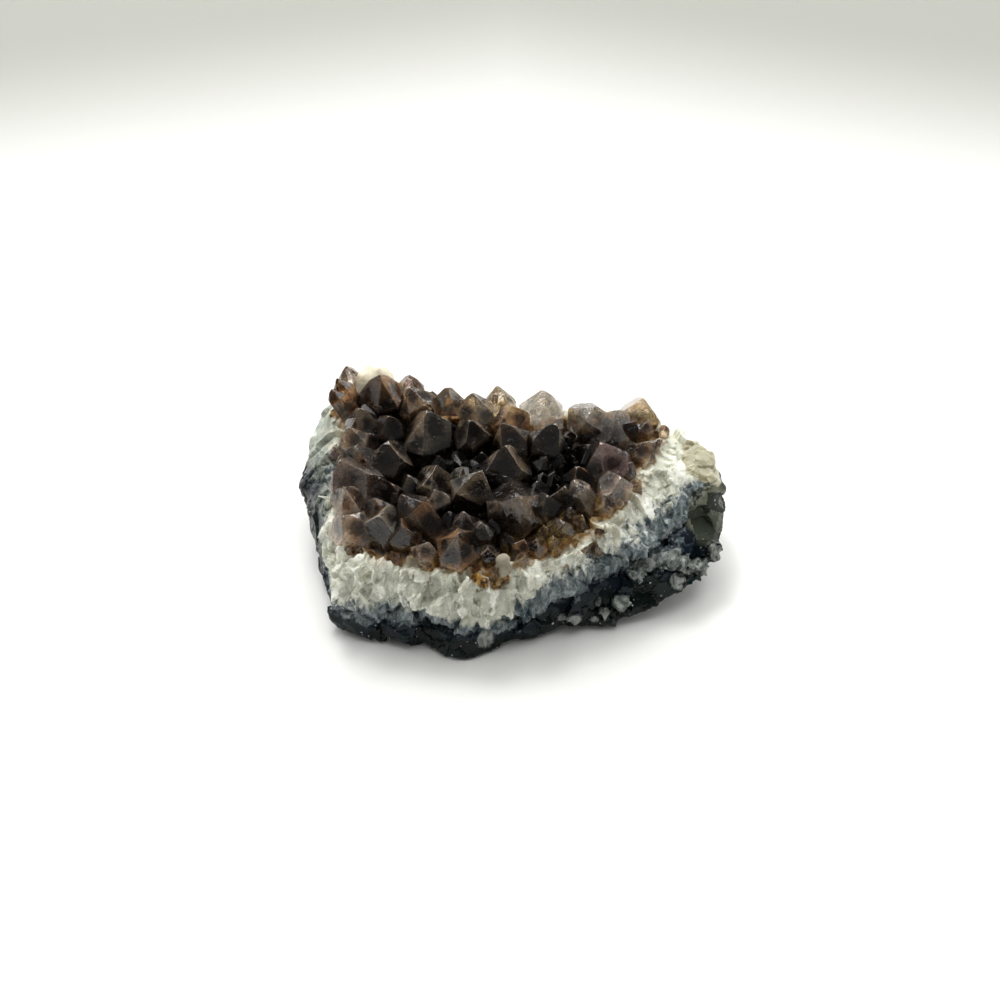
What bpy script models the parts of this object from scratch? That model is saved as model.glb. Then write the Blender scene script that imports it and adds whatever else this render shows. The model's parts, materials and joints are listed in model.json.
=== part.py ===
"""Smoky quartz cluster: a broken piece of geode wall that lies on its dark rind.

A dark chalcedony rind carries a thick band of milky quartz. Smoky quartz crystals have
grown together over the top of the band, and a small calcite lump sits at the back left.
The tables below are in millimetres, in a plan frame with +X right, +Y to the back and
z = 0 at the resting spot. The finished cluster is moved so that its origin is at the
bottom centre of its box.
"""
import math
import random

import bmesh
import bpy
import numpy as np
from mathutils import Matrix, Vector, noise

MM = 0.001

# Loft settings. Shares are shares of the way out from the plan centre, or up a wall
STATIONS = 72
PLAN_CENTRE = Vector((-2.0, -1.0, 0.0))
GAP = 0.3

# Rind: resting spot, widest outline, and the seam where it meets the milky band
REST_SPOT_CENTRE = (-10.0, -6.0)
REST_SPOT_RADII = (21.0, 17.0)
BELLY_ROWS = ((0.35, 0.38), (0.72, 0.65))
BELLY_LOWEST = 0.25
FOOT_LOWEST = 0.6
RIND_WALL_SHARES = (0.34, 0.68)
RIND_BULGE = 1.0
FOOT_RING = [
    (51.5, -1.4, 16.0), (50.0, -8.5, 12.0), (46.3, -14.2, 9.0), (40.4, -19.2, 7.0),
    (33.3, -22.5, 4.0), (26.2, -24.2, 2.0), (20.4, -25.3, 1.4), (10.9, -26.6, 1.2),
    (0.4, -30.1, 1.0), (-6.5, -33.6, 0.6), (-12.7, -36.0, 0.6), (-16.2, -33.4, 1.0),
    (-21.0, -31.4, 1.2), (-28.0, -30.6, 1.2), (-35.0, -29.4, 1.4), (-41.6, -27.4, 2.0),
    (-43.2, -18.8, 2.4), (-45.4, -7.3, 3.2), (-48.8, 4.5, 4.6), (-50.8, 13.4, 6.5),
    (-50.0, 25.0, 7.0), (-45.0, 32.5, 6.5), (-36.0, 34.5, 5.5), (-25.0, 32.0, 5.0),
    (-15.0, 29.5, 4.5), (0.0, 28.5, 4.5), (15.0, 27.5, 5.0), (30.0, 25.0, 7.0),
    (40.0, 21.0, 9.0), (47.0, 14.5, 11.5), (51.0, 6.5, 14.0),
]
SEAM_RING = [
    (49.5, 3.0, 22.5), (44.5, -3.0, 20.5), (39.5, -9.2, 17.2), (34.4, -13.5, 15.0),
    (27.2, -18.1, 13.0), (17.7, -22.7, 11.0), (10.7, -25.5, 10.0), (3.8, -28.2, 8.5),
    (-3.1, -30.5, 7.0), (-7.7, -33.2, 5.8), (-12.7, -33.2, 6.2), (-17.3, -30.8, 7.0),
    (-22.0, -28.6, 8.5), (-28.4, -28.4, 8.5), (-35.3, -28.6, 7.5), (-40.8, -26.9, 7.6),
    (-42.8, -19.0, 7.4), (-44.6, -12.0, 7.2), (-47.4, -4.5, 7.6), (-50.4, 5.0, 8.8),
    (-52.2, 14.5, 11.2), (-51.2, 24.5, 12.4), (-45.6, 32.6, 13.0), (-36.0, 34.6, 13.0),
    (-24.0, 31.8, 13.5), (-10.0, 28.6, 14.5), (5.0, 27.6, 16.0), (20.0, 26.2, 17.5),
    (33.0, 23.2, 19.0), (42.0, 17.8, 20.5), (48.2, 10.5, 22.0),
]
# Milky band: the shoulder halfway up its wall, and the rim of its top where crystals grow
SHOULDER_RING = [
    (47.4, 3.6, 24.6), (42.4, -1.4, 23.6), (36.5, -5.8, 22.5), (31.5, -12.5, 19.5),
    (24.3, -18.3, 18.0), (16.5, -23.6, 17.0), (8.5, -26.6, 16.0), (0.0, -29.4, 15.0),
    (-6.5, -32.0, 13.6), (-12.5, -32.3, 13.4), (-18.5, -30.0, 14.0), (-27.0, -27.8, 15.0),
    (-34.5, -27.7, 15.0), (-40.4, -25.8, 15.2), (-42.4, -19.0, 15.6), (-44.2, -12.0, 16.0),
    (-46.8, -4.5, 16.6), (-50.6, 5.0, 17.4), (-52.4, 14.0, 18.8), (-51.4, 24.0, 20.2),
    (-46.4, 32.0, 21.4), (-36.0, 34.2, 21.4), (-25.0, 30.6, 21.4), (-10.0, 26.4, 22.0),
    (5.0, 24.8, 22.8), (20.0, 23.8, 24.0), (32.0, 21.6, 25.6), (41.0, 17.6, 26.4),
    (46.8, 11.0, 25.8),
]
RIM_RING = [
    (37.2, 11.5, 28.6), (34.4, 5.5, 27.5), (30.2, -3.6, 26.0), (25.2, -11.9, 25.0),
    (20.0, -18.9, 24.0), (13.8, -23.2, 23.0), (7.0, -26.0, 22.0), (-0.9, -28.6, 21.0),
    (-6.4, -30.6, 20.5), (-12.0, -30.6, 20.5), (-18.7, -28.5, 21.0), (-25.6, -26.2, 21.5),
    (-32.3, -25.7, 22.0), (-38.6, -24.0, 22.5), (-40.9, -19.0, 22.8), (-42.0, -12.5, 23.0),
    (-42.8, -4.0, 23.8), (-43.4, 6.0, 24.6), (-44.2, 14.0, 25.5), (-45.0, 23.0, 26.2),
    (-43.5, 30.0, 26.6), (-37.0, 32.6, 26.8), (-28.0, 29.4, 26.8), (-18.0, 24.6, 27.0),
    (-5.0, 22.6, 27.4), (8.0, 21.2, 28.0), (20.0, 20.6, 28.4), (29.0, 20.8, 28.8),
    (35.0, 17.6, 28.8),
]
# The band's top dips like a shallow bowl under the crystals
BED_HEIGHT = 24.8
BED_RISE_Y = 0.11
BED_RISE_X = 0.06
BOWL_DEPTH = 2.2
BOWL_RADIUS = 34.0
BED_SHARES = (0.72, 0.38)
BAND_BULGE = 0.6
# Rind and band meet in a shallow dome: its row inside the seam, and its middle
DOME_SHARE = 0.5
DOME_FLATNESS = 0.6
DOME_LIFT = 5.5
DOME_MIDDLE = 12.0
# Broken stone: how far whole chunks stand in or out, as chip() uses it
RIND_ROUGHNESS = 0.7
BAND_ROUGHNESS = 0.95
CHUNK_SIZE = 6.5
CHUNK_PUSH = 1.1
CHIP_PUSH = 0.7
CHIP_LIFT = 0.8

# Crystals: quartz tips slope 51.8 degrees from the plane across the axis
TIP_FACE_SLOPE = math.radians(51.8)
SLOPE_SCATTER = math.radians(1.0)
PRISM_SCATTER = (0.9, 1.08)
LARGE_TIP_FACE = (0.0, 0.06)
SMALL_TIP_FACE = (0.05, 0.28)
ROOT_LENGTH = 3.0
# The sheet of roots that joins them: thickness, shares of the rim, and depth into the band
CRUST_THICKNESS = 3.0
CRUST_SHARE = 0.93
CRUST_TOP_SHARES = (0.7, 0.35)
CRUST_ROUGHNESS = 1.0
CRUST_EDGE_ROUGHNESS = 0.4
CRUST_EDGE_DEPTH = 1.5
CRUST_MIDDLE_DEPTH = 4.0
CRUST_MIDDLE_RISE = 2.0
# name: tip x, y, z, lean to the right and to the back in degrees, radius, turn about the axis
CRYSTALS = {
    "edge_tip_clear": (-41.2, 29.4, 36.0, -16, 4, 2.4, 10),
    "brown_blade_a": (-43.0, 24.2, 36.2, -28, 12, 2.7, 25),
    "brown_blade_b": (-44.2, 21.4, 35.0, -30, 8, 2.4, 5),
    "dark_pyramid": (-32.3, 24.6, 37.0, -4, 4, 6.3, 0),
    "lilac_stub": (-25.4, 27.4, 34.8, 2, 10, 3.4, 15),
    "leaning_wedge": (-25.2, 20.4, 36.4, -24, 8, 4.8, 35),
    "back_stub": (-19.6, 22.0, 34.0, 6, 10, 2.9, 20),
    "brown_back_a": (-37.0, 14.6, 34.2, -6, 0, 4.0, 40),
    "brown_back_b": (-29.8, 12.6, 33.6, 0, 0, 3.8, 12),
    "bright_knob": (-39.4, 8.6, 33.4, -14, 0, 4.2, 22),
    "amber_block": (-37.2, 2.2, 33.0, -8, -5, 5.0, 50),
    "lilac_wedge": (-40.0, -4.2, 34.0, -24, 4, 6.3, 8),
    "olive_block": (-29.6, 2.6, 33.6, -4, 4, 5.6, 30),
    "grey_giant": (-20.4, 12.6, 35.0, 0, 6, 6.9, 0),
    "green_facet": (-17.8, -3.4, 32.0, 8, 10, 4.8, 42),
    "smoky_pyramid": (-15.4, 20.2, 36.2, 0, 5, 4.9, 30),
    "flat_faced": (-9.6, 19.0, 35.6, -6, 5, 5.1, 18),
    "golden_tip": (-3.6, 22.0, 35.4, -3, 12, 3.9, 36),
    "purple_stub": (-0.4, 15.2, 35.0, 0, 0, 4.9, 3),
    "striped_clear": (7.4, 19.6, 35.8, 3, 6, 6.2, 27),
    "olive_dark": (-2.8, 9.6, 34.0, -20, 0, 5.6, 14),
    "black_blade": (-10.4, 10.4, 34.0, -5, 0, 4.4, 46),
    "grey_triangle": (9.9, 8.2, 34.8, 16, 4, 4.7, 33),
    "centre_purple": (-1.6, 1.0, 34.0, -3, 2, 6.6, 9),
    "pale_green_chip": (-11.6, -3.6, 31.6, 0, 10, 3.5, 28),
    "lying_prism": (13.4, 14.6, 33.8, -52, 5, 4.4, 1),
    "big_clear": (24.4, 13.6, 35.4, -12, 4, 5.5, 17),
    "golden_back": (31.2, 16.8, 35.6, 12, 4, 5.9, 41),
    "lilac_right": (20.6, 0.8, 35.0, -12, 2, 6.0, 31),
    "lower_right": (24.6, -7.6, 31.8, 16, -10, 4.4, 6),
    "olive_gap": (17.6, 4.0, 31.8, 0, 0, 3.6, 24),
    "brown_sheaf": (14.8, -4.4, 32.0, -8, 0, 4.4, 48),
    "clear_spear": (13.6, -8.2, 31.4, -32, 20, 2.6, 0),
    "amber_stub": (11.8, -9.2, 30.4, 0, -6, 3.9, 19),
    "left_knob": (-38.6, -10.6, 31.4, -14, -6, 4.8, 37),
    "corner_cluster": (-38.4, -18.8, 29.8, -18, -16, 4.8, 11),
    "sparkling_left": (-30.4, -18.2, 29.8, -4, -16, 4.8, 23),
    "brown_front": (-25.0, -20.6, 28.6, -2, -20, 3.9, 44),
    "long_prism": (-25.4, -13.0, 31.6, -36, 18, 4.2, 7),
    "small_sparkle": (-18.2, -10.0, 30.2, -6, 0, 3.3, 34),
    "pale_face": (-31.4, -13.2, 30.2, -4, -6, 4.1, 16),
    "brown_sliver": (-21.6, -25.4, 27.0, -24, -16, 2.5, 29),
    "olive_point": (-7.2, -5.6, 32.0, 24, 6, 5.2, 38),
    "big_front": (-0.8, -12.4, 33.0, -4, -14, 6.6, 2),
    "purple_tooth": (-11.3, -16.6, 29.4, -4, 0, 2.9, 20),
    "brown_tooth": (-7.4, -19.4, 28.6, -2, -8, 2.8, 50),
    "front_bullet": (-12.2, -22.8, 30.4, -2, -14, 4.6, 13),
    "round_nub": (-5.8, -25.4, 26.2, 0, -16, 2.2, 32),
    "white_nub": (-2.4, -27.8, 25.2, 0, -20, 2.0, 4),
    "clear_nub": (2.6, -27.2, 25.0, 4, -20, 2.1, 26),
    "edge_prism": (7.8, -12.6, 30.6, 6, -6, 4.0, 10),
    "pale_edge": (11.4, -18.4, 27.8, 10, -16, 3.4, 39),
    "right_cap": (32.4, 4.4, 32.4, 22, -4, 3.4, 45),
    "left_root": (-31.0, -6.4, 30.6, -6, 0, 4.0, 21),
    "hollow_wall": (-24.4, -4.4, 29.6, 0, 0, 3.8, 2),
    "dark_floor": (5.6, -5.6, 28.8, 0, 0, 3.6, 30),
}
FILLER_COUNT = 46
FILLER_RADIUS = (1.8, 3.1)
FILLER_SEED = 11
FILLER_SHARE = 0.9
FILLER_AREA = ((-44.0, 37.0), (-31.0, 33.0))
FILLER_CLOSENESS = 0.55
FILLER_LEAN = 0.5
FILLER_SPREAD = 12.0
FILLER_RISE = 1.0
FILLER_SLENDERNESS = 1.2

# Calcite lump at the back left
CALCITE_CENTRE = (-34.4, 29.0, 30.2)
CALCITE_RADII = (5.3, 4.6, 5.6)
CALCITE_LUMPS = 0.09
CALCITE_LUMP_DENSITY = 1.9


def clear_scene():
    for obj in list(bpy.data.objects):
        bpy.data.objects.remove(obj, do_unlink=True)


def new_collection(name):
    collection = bpy.data.collections.new(name)
    bpy.context.scene.collection.children.link(collection)
    return collection


def material(name, colour, roughness, transmission=0.0, ior=1.5):
    mat = bpy.data.materials.new(name)
    mat.use_nodes = True
    shader = mat.node_tree.nodes["Principled BSDF"]
    shader.inputs["Base Color"].default_value = (*colour, 1.0)
    shader.inputs["Roughness"].default_value = roughness
    shader.inputs["Metallic"].default_value = 0.0
    shader.inputs["Transmission Weight"].default_value = transmission
    shader.inputs["IOR"].default_value = ior
    return mat


def object_from(bm, name, collection, mat=None):
    bmesh.ops.recalc_face_normals(bm, faces=bm.faces)
    mesh = bpy.data.meshes.new(name)
    bm.to_mesh(mesh)
    bm.free()
    if mat:
        mesh.materials.append(mat)
    obj = bpy.data.objects.new(name, mesh)
    collection.objects.link(obj)
    return obj


def as_cutter(obj):
    obj.hide_render = True
    obj.display_type = "WIRE"
    return obj


def station_angles():
    """Angles of the stations, spaced evenly along the foot outline."""
    ring = np.array([(x, y) for x, y, _ in FOOT_RING])
    ring = np.vstack([ring, ring[:1]])
    steps = np.hypot(*np.diff(ring, axis=0).T)
    along = np.concatenate([[0.0], np.cumsum(steps)])
    wanted = np.linspace(0.0, along[-1], STATIONS, endpoint=False)
    xs = np.interp(wanted, along, ring[:, 0])
    ys = np.interp(wanted, along, ring[:, 1])
    return np.arctan2(ys - PLAN_CENTRE.y, xs - PLAN_CENTRE.x)


def ring_row(ring, angles):
    """The ring's points at the station angles, as an array of x, y, z."""
    points = np.array(ring)
    dx = points[:, 0] - PLAN_CENTRE.x
    dy = points[:, 1] - PLAN_CENTRE.y
    around = np.arctan2(dy, dx)
    radius = np.interp(angles, around, np.hypot(dx, dy), period=math.tau)
    height = np.interp(angles, around, points[:, 2], period=math.tau)
    return polar_row(radius, height, angles)


def polar_row(radius, height, angles):
    x = PLAN_CENTRE.x + radius * np.cos(angles)
    y = PLAN_CENTRE.y + radius * np.sin(angles)
    return np.column_stack([x, y, height])


def bed_height(x, y):
    """Height of the band's top, a tilted shallow bowl."""
    away = np.hypot(x - PLAN_CENTRE.x, y - PLAN_CENTRE.y)
    bowl = BOWL_DEPTH * np.clip(1.0 - (away / BOWL_RADIUS) ** 2, 0.0, 1.0)
    return BED_HEIGHT + BED_RISE_X * x + BED_RISE_Y * y - bowl


def between(row_a, row_b, share, bulge=0.0):
    """A row part of the way from row_a to row_b, pushed outwards by bulge at mid height."""
    row = row_a + (row_b - row_a) * share
    outward = row[:, :2] - np.array(PLAN_CENTRE[:2])
    outward /= np.linalg.norm(outward, axis=1)[:, None]
    row[:, :2] += outward * bulge * math.sin(math.pi * share)
    return row


def towards_centre(row, share, height=None):
    """A row shrunk in plan towards the plan centre, at the bed's height or the one given."""
    inner = row.copy()
    centre = np.array(PLAN_CENTRE[:2])
    inner[:, :2] = centre + (row[:, :2] - centre) * share
    inner[:, 2] = bed_height(inner[:, 0], inner[:, 1]) if height is None else height
    return inner


def chip(row, amount, seed, vertical=0.5):
    """Moves each point of a row as broken stone does: whole chunks in or out, then small chips."""
    rng = random.Random(seed)
    chipped = row.copy()
    for point in chipped:
        where = Vector(point) / CHUNK_SIZE + Vector((seed * 0.37, 0.0, 0.0))
        chunk = noise.cell(where) - 0.5
        push = amount * (CHUNK_PUSH * chunk + rng.uniform(-CHIP_PUSH, CHIP_PUSH))
        outward = (Vector(point[:2]) - PLAN_CENTRE.xy).normalized()
        point[:2] += np.array(outward) * push
        point[2] += amount * vertical * rng.uniform(-CHIP_LIFT, CHIP_LIFT)
    return chipped


def loft(rows, bottom, top):
    """A closed solid through rows of equal length, with a point at each end."""
    bm = bmesh.new()
    rings = [[bm.verts.new(Vector(p) * MM) for p in row] for row in rows]
    low = bm.verts.new(Vector(bottom) * MM)
    high = bm.verts.new(Vector(top) * MM)
    count = len(rings[0])
    for i in range(count):
        j = (i + 1) % count
        bm.faces.new((low, rings[0][j], rings[0][i]))
        bm.faces.new((high, rings[-1][i], rings[-1][j]))
        for lower, upper in zip(rings, rings[1:]):
            bm.faces.new((lower[i], lower[j], upper[j], upper[i]))
    bmesh.ops.triangulate(bm, faces=bm.faces)
    return bm


def seam_rows(angles):
    """The surface where rind and band meet: the chipped seam and one row inside it."""
    outer = chip(ring_row(SEAM_RING, angles), RIND_ROUGHNESS, seed=3, vertical=1.0)
    inner_height = outer[:, 2] * DOME_FLATNESS + DOME_LIFT
    inner = towards_centre(outer, DOME_SHARE, height=inner_height)
    centre = np.array([PLAN_CENTRE.x, PLAN_CENTRE.y, DOME_MIDDLE])
    return outer, inner, centre


def build_rind(angles, collection, mat):
    """Dark rind: flat resting spot, rounded belly, chipped wall up to the seam."""
    spot_x = REST_SPOT_CENTRE[0] + REST_SPOT_RADII[0] * np.cos(angles)
    spot_y = REST_SPOT_CENTRE[1] + REST_SPOT_RADII[1] * np.sin(angles)
    spot = np.column_stack([spot_x, spot_y, np.zeros(STATIONS)])
    foot = chip(ring_row(FOOT_RING, angles), RIND_ROUGHNESS * 0.5, seed=1, vertical=0.3)
    foot[:, 2] = np.maximum(foot[:, 2], FOOT_LOWEST)
    seam, seam_inner, seam_centre = seam_rows(angles)
    belly = []
    for share, flatness in BELLY_ROWS:
        row = between(spot, foot, share)
        row[:, 2] *= flatness
        row = chip(row, RIND_ROUGHNESS * 0.6, seed=5 + len(belly), vertical=0.5)
        row[:, 2] = np.maximum(row[:, 2], BELLY_LOWEST)
        belly.append(row)
    wall = [
        chip(between(foot, seam, share, RIND_BULGE), RIND_ROUGHNESS, seed=7 + i)
        for i, share in enumerate(RIND_WALL_SHARES)
    ]
    rows = [spot, *belly, foot, *wall, seam, seam_inner]
    bottom = (*REST_SPOT_CENTRE, 0.0)
    return object_from(loft(rows, bottom, seam_centre), "chalcedony_rind", collection, mat)


def band_mesh(angles, grow=0.0):
    """The milky band as a loft. With grow, every outer face moves out by about that much."""
    seam, seam_inner, seam_centre = seam_rows(angles)
    lift = np.array([0.0, 0.0, GAP if grow == 0.0 else -GAP])
    seam_top, seam_inner_top = seam + lift, seam_inner + lift
    shoulder = ring_row(SHOULDER_RING, angles)
    rim = chip(ring_row(RIM_RING, angles), BAND_ROUGHNESS * 0.6, seed=20, vertical=0.6)
    wall = [
        between(seam_top, shoulder, 0.5, BAND_BULGE),
        shoulder,
        between(shoulder, rim, 0.33, BAND_BULGE),
        between(shoulder, rim, 0.67, BAND_BULGE),
    ]
    wall = [
        chip(row, BAND_ROUGHNESS, seed=21 + i, vertical=0.6) for i, row in enumerate(wall)
    ]
    bed = [towards_centre(rim, share) for share in BED_SHARES]
    rows = [seam_inner_top, seam_top, *wall, rim, *bed]
    if grow:
        for row in rows[1:]:
            outward = row[:, :2] - np.array(PLAN_CENTRE[:2])
            outward /= np.linalg.norm(outward, axis=1)[:, None]
            row[:, :2] += outward * grow
        for row in rows[2:]:
            row[:, 2] += grow
    middle = bed_height(PLAN_CENTRE.x, PLAN_CENTRE.y) + grow
    top = (PLAN_CENTRE.x, PLAN_CENTRE.y, middle)
    return loft(rows, seam_centre + lift, top)


def crust_mesh(angles):
    """The sheet of intergrown roots that the crystals stand on."""
    rim = towards_centre(ring_row(RIM_RING, angles[::2]), CRUST_SHARE)
    rim = chip(rim, CRUST_EDGE_ROUGHNESS, seed=30)
    low = rim.copy()
    low[:, 2] -= CRUST_EDGE_DEPTH
    top = chip(rim, CRUST_ROUGHNESS, seed=33)
    top[:, 2] += CRUST_THICKNESS / 2
    rows = [low, top]
    for seed, share in enumerate(CRUST_TOP_SHARES, start=31):
        row = chip(towards_centre(rim, share), CRUST_ROUGHNESS, seed)
        row[:, 2] += CRUST_THICKNESS
        rows.append(row)
    x, y = PLAN_CENTRE.x, PLAN_CENTRE.y
    height = bed_height(x, y)
    return loft(rows, (x, y, height - CRUST_MIDDLE_DEPTH), (x, y, height + CRUST_MIDDLE_RISE))


def crystal_mesh(tip, lean_right, lean_back, radius, turn, rng):
    """One quartz crystal: a block trimmed by six prism planes and six tip planes."""
    axis = Vector((math.tan(lean_right), math.tan(lean_back), 1.0)).normalized()
    length = (tip.z - float(bed_height(tip.x, tip.y)) + ROOT_LENGTH) / axis.z
    bm = bmesh.new()
    bmesh.ops.create_cube(bm, size=1.0)
    bmesh.ops.scale(bm, vec=(4 * radius, 4 * radius, length), verts=bm.verts)
    bmesh.ops.translate(bm, vec=(0, 0, -length / 2), verts=bm.verts)
    apothem = radius * math.cos(math.pi / 6)
    for k in range(6):
        angle = turn + k * math.pi / 3
        side = Vector((math.cos(angle), math.sin(angle), 0.0))
        reach = apothem * rng.uniform(*PRISM_SCATTER)
        trim(bm, side * reach, side)
        slope = TIP_FACE_SLOPE + rng.uniform(-SLOPE_SCATTER, SLOPE_SCATTER)
        face = side * math.sin(slope) + Vector((0, 0, math.cos(slope)))
        back_off = rng.uniform(*(LARGE_TIP_FACE if k % 2 == 0 else SMALL_TIP_FACE))
        trim(bm, face * back_off * apothem, face)
    facing = axis.to_track_quat("Z", "Y").to_matrix().to_4x4()
    bmesh.ops.transform(bm, matrix=Matrix.Translation(tip) @ facing, verts=bm.verts)
    bmesh.ops.scale(bm, vec=(MM, MM, MM), verts=bm.verts)
    return bm


def trim(bm, point, outward):
    """Cuts away what lies beyond a plane and closes the cut with a flat face."""
    everything = [*bm.verts, *bm.edges, *bm.faces]
    bmesh.ops.bisect_plane(bm, geom=everything, plane_co=point, plane_no=outward, clear_outer=True)
    bmesh.ops.holes_fill(bm, edges=bm.edges)


def inside_rim(x, y, share):
    """Whether a plan point lies inside the rim shrunk to this share of its radius."""
    ring = np.array(RIM_RING)
    dx = ring[:, 0] - PLAN_CENTRE.x
    dy = ring[:, 1] - PLAN_CENTRE.y
    around = np.arctan2(dy, dx)
    angle = math.atan2(y - PLAN_CENTRE.y, x - PLAN_CENTRE.x)
    limit = np.interp(angle, around, np.hypot(dx, dy), period=math.tau)
    return math.hypot(x - PLAN_CENTRE.x, y - PLAN_CENTRE.y) < share * limit


def filler_crystals():
    """Small crystals in the room that the named ones leave."""
    rng = random.Random(FILLER_SEED)
    taken = [(x, y, radius) for x, y, _, _, _, radius, _ in CRYSTALS.values()]
    fillers = {}
    while len(fillers) < FILLER_COUNT:
        x, y = (rng.uniform(*side) for side in FILLER_AREA)
        radius = rng.uniform(*FILLER_RADIUS)
        if not inside_rim(x, y, FILLER_SHARE):
            continue
        rooms = (math.hypot(x - a, y - b) / (radius + c) for a, b, c in taken)
        if min(rooms) < FILLER_CLOSENESS:
            continue
        taken.append((x, y, radius))
        right = FILLER_LEAN * (x - PLAN_CENTRE.x) + rng.uniform(-FILLER_SPREAD, FILLER_SPREAD)
        back = FILLER_LEAN * (y - PLAN_CENTRE.y) + rng.uniform(-FILLER_SPREAD, FILLER_SPREAD)
        rise = CRUST_THICKNESS + FILLER_RISE + FILLER_SLENDERNESS * radius
        tip_z = float(bed_height(x, y)) + rise
        name = f"filler_{len(fillers) + 1:02d}"
        fillers[name] = (x, y, tip_z, right, back, radius, rng.uniform(0, 60))
    return fillers


def build_crystals(angles, collection, cutters, operands, mat):
    """All crystals and their crust, joined in one solid that stops short of the band."""
    crystals = object_from(crust_mesh(angles), "smoky_quartz_crystals", collection, mat)
    rng = random.Random(FILLER_SEED + 1)
    for name, (x, y, z, right, back, radius, turn) in {**CRYSTALS, **filler_crystals()}.items():
        leans = math.radians(right), math.radians(back)
        bm = crystal_mesh(Vector((x, y, z)), *leans, radius, math.radians(turn), rng)
        as_cutter(object_from(bm, name, operands))
    union = crystals.modifiers.new("grown_together", "BOOLEAN")
    union.operation = "UNION"
    union.operand_type = "COLLECTION"
    union.collection = operands
    cut(crystals, as_cutter(object_from(band_mesh(angles, grow=GAP), "band_clearance", cutters)))
    return crystals


def calcite_mesh(grow=0.0):
    """A rounded lump with low swellings."""
    bm = bmesh.new()
    bmesh.ops.create_icosphere(bm, subdivisions=3, radius=1.0)
    for vert in bm.verts:
        where = vert.co * CALCITE_LUMP_DENSITY + Vector((4.0, 1.0, 2.0))
        vert.co *= 1.0 + CALCITE_LUMPS * noise.noise(where)
        vert.co.x *= CALCITE_RADII[0] + grow
        vert.co.y *= CALCITE_RADII[1] + grow
        vert.co.z *= CALCITE_RADII[2] + grow
    bmesh.ops.translate(bm, vec=CALCITE_CENTRE, verts=bm.verts)
    bmesh.ops.scale(bm, vec=(MM, MM, MM), verts=bm.verts)
    return bm


def cut(obj, cutter):
    difference = obj.modifiers.new("clear_of_" + cutter.name, "BOOLEAN")
    difference.operation = "DIFFERENCE"
    difference.object = cutter


def keep_largest_shell(obj):
    """Applies the Booleans and drops sealed pockets and crumbs left between crystals."""
    bpy.context.view_layer.update()
    graph = bpy.context.evaluated_depsgraph_get()
    mesh = bpy.data.meshes.new_from_object(obj.evaluated_get(graph))
    bm = bmesh.new()
    bm.from_mesh(mesh)
    shells = []
    unseen = set(bm.verts)
    while unseen:
        shell = set()
        to_visit = [unseen.pop()]
        while to_visit:
            vert = to_visit.pop()
            shell.add(vert)
            near = {edge.other_vert(vert) for edge in vert.link_edges} & unseen
            unseen -= near
            to_visit.extend(near)
        shells.append(shell)
    shells.sort(key=len)
    for shell in shells[:-1]:
        bmesh.ops.delete(bm, geom=list(shell), context="VERTS")
    bm.to_mesh(mesh)
    bm.free()
    obj.modifiers.clear()
    obj.data = mesh


def stand_at_origin(parts, others):
    """Parents everything to an empty that puts the bottom centre of the box at the origin."""
    bpy.context.view_layer.update()
    graph = bpy.context.evaluated_depsgraph_get()
    corners = [Vector(c) for part in parts for c in part.evaluated_get(graph).bound_box]
    low = [min(c[i] for c in corners) for i in range(3)]
    high = [max(c[i] for c in corners) for i in range(3)]
    stand = bpy.data.objects.new("cluster_origin", None)
    bpy.context.scene.collection.objects.link(stand)
    stand.location = (-(low[0] + high[0]) / 2, -(low[1] + high[1]) / 2, -low[2])
    for obj in [*parts, *others]:
        obj.parent = stand
    print("plan frame moved by", [round(v / MM, 3) for v in stand.location], "mm")


def main():
    clear_scene()
    cluster = new_collection("smoky_quartz_cluster")
    cutters = new_collection("cutters")
    operands = new_collection("crystals_to_join")
    angles = np.sort(station_angles())
    rind = build_rind(angles, cluster, material("dark_chalcedony", (0.012, 0.03, 0.036), 0.45))
    milky = material("milky_quartz", (0.72, 0.75, 0.72), 0.4)
    band = object_from(band_mesh(angles), "milky_quartz_band", cluster, milky)
    smoky = material("smoky_quartz", (0.30, 0.22, 0.21), 0.08, transmission=0.8, ior=1.544)
    crystals = build_crystals(angles, cluster, cutters, operands, smoky)
    cream = material("cream_calcite", (0.80, 0.72, 0.58), 0.5)
    calcite = object_from(calcite_mesh(), "calcite_lump", cluster, cream)
    cut(calcite, bpy.data.objects["band_clearance"])
    cut(crystals, as_cutter(object_from(calcite_mesh(grow=GAP), "calcite_clearance", cutters)))
    keep_largest_shell(crystals)
    stand_at_origin([rind, band, crystals, calcite], [*cutters.objects, *operands.objects])


main()
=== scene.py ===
"""Looks of the smoky quartz cluster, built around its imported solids.

The rind and the milky band become finely broken surfaces that share one set of colour
layers. The crystals are grown again from nearly the same list as the solids, with
bevelled edges and many small neighbours, and joined in one clear solid. Tables are in
millimetres in the part's plan frame.
"""
import itertools
import json
import math
import random

import bmesh
import bpy
import numpy as np
from mathutils import Matrix, Vector

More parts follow.
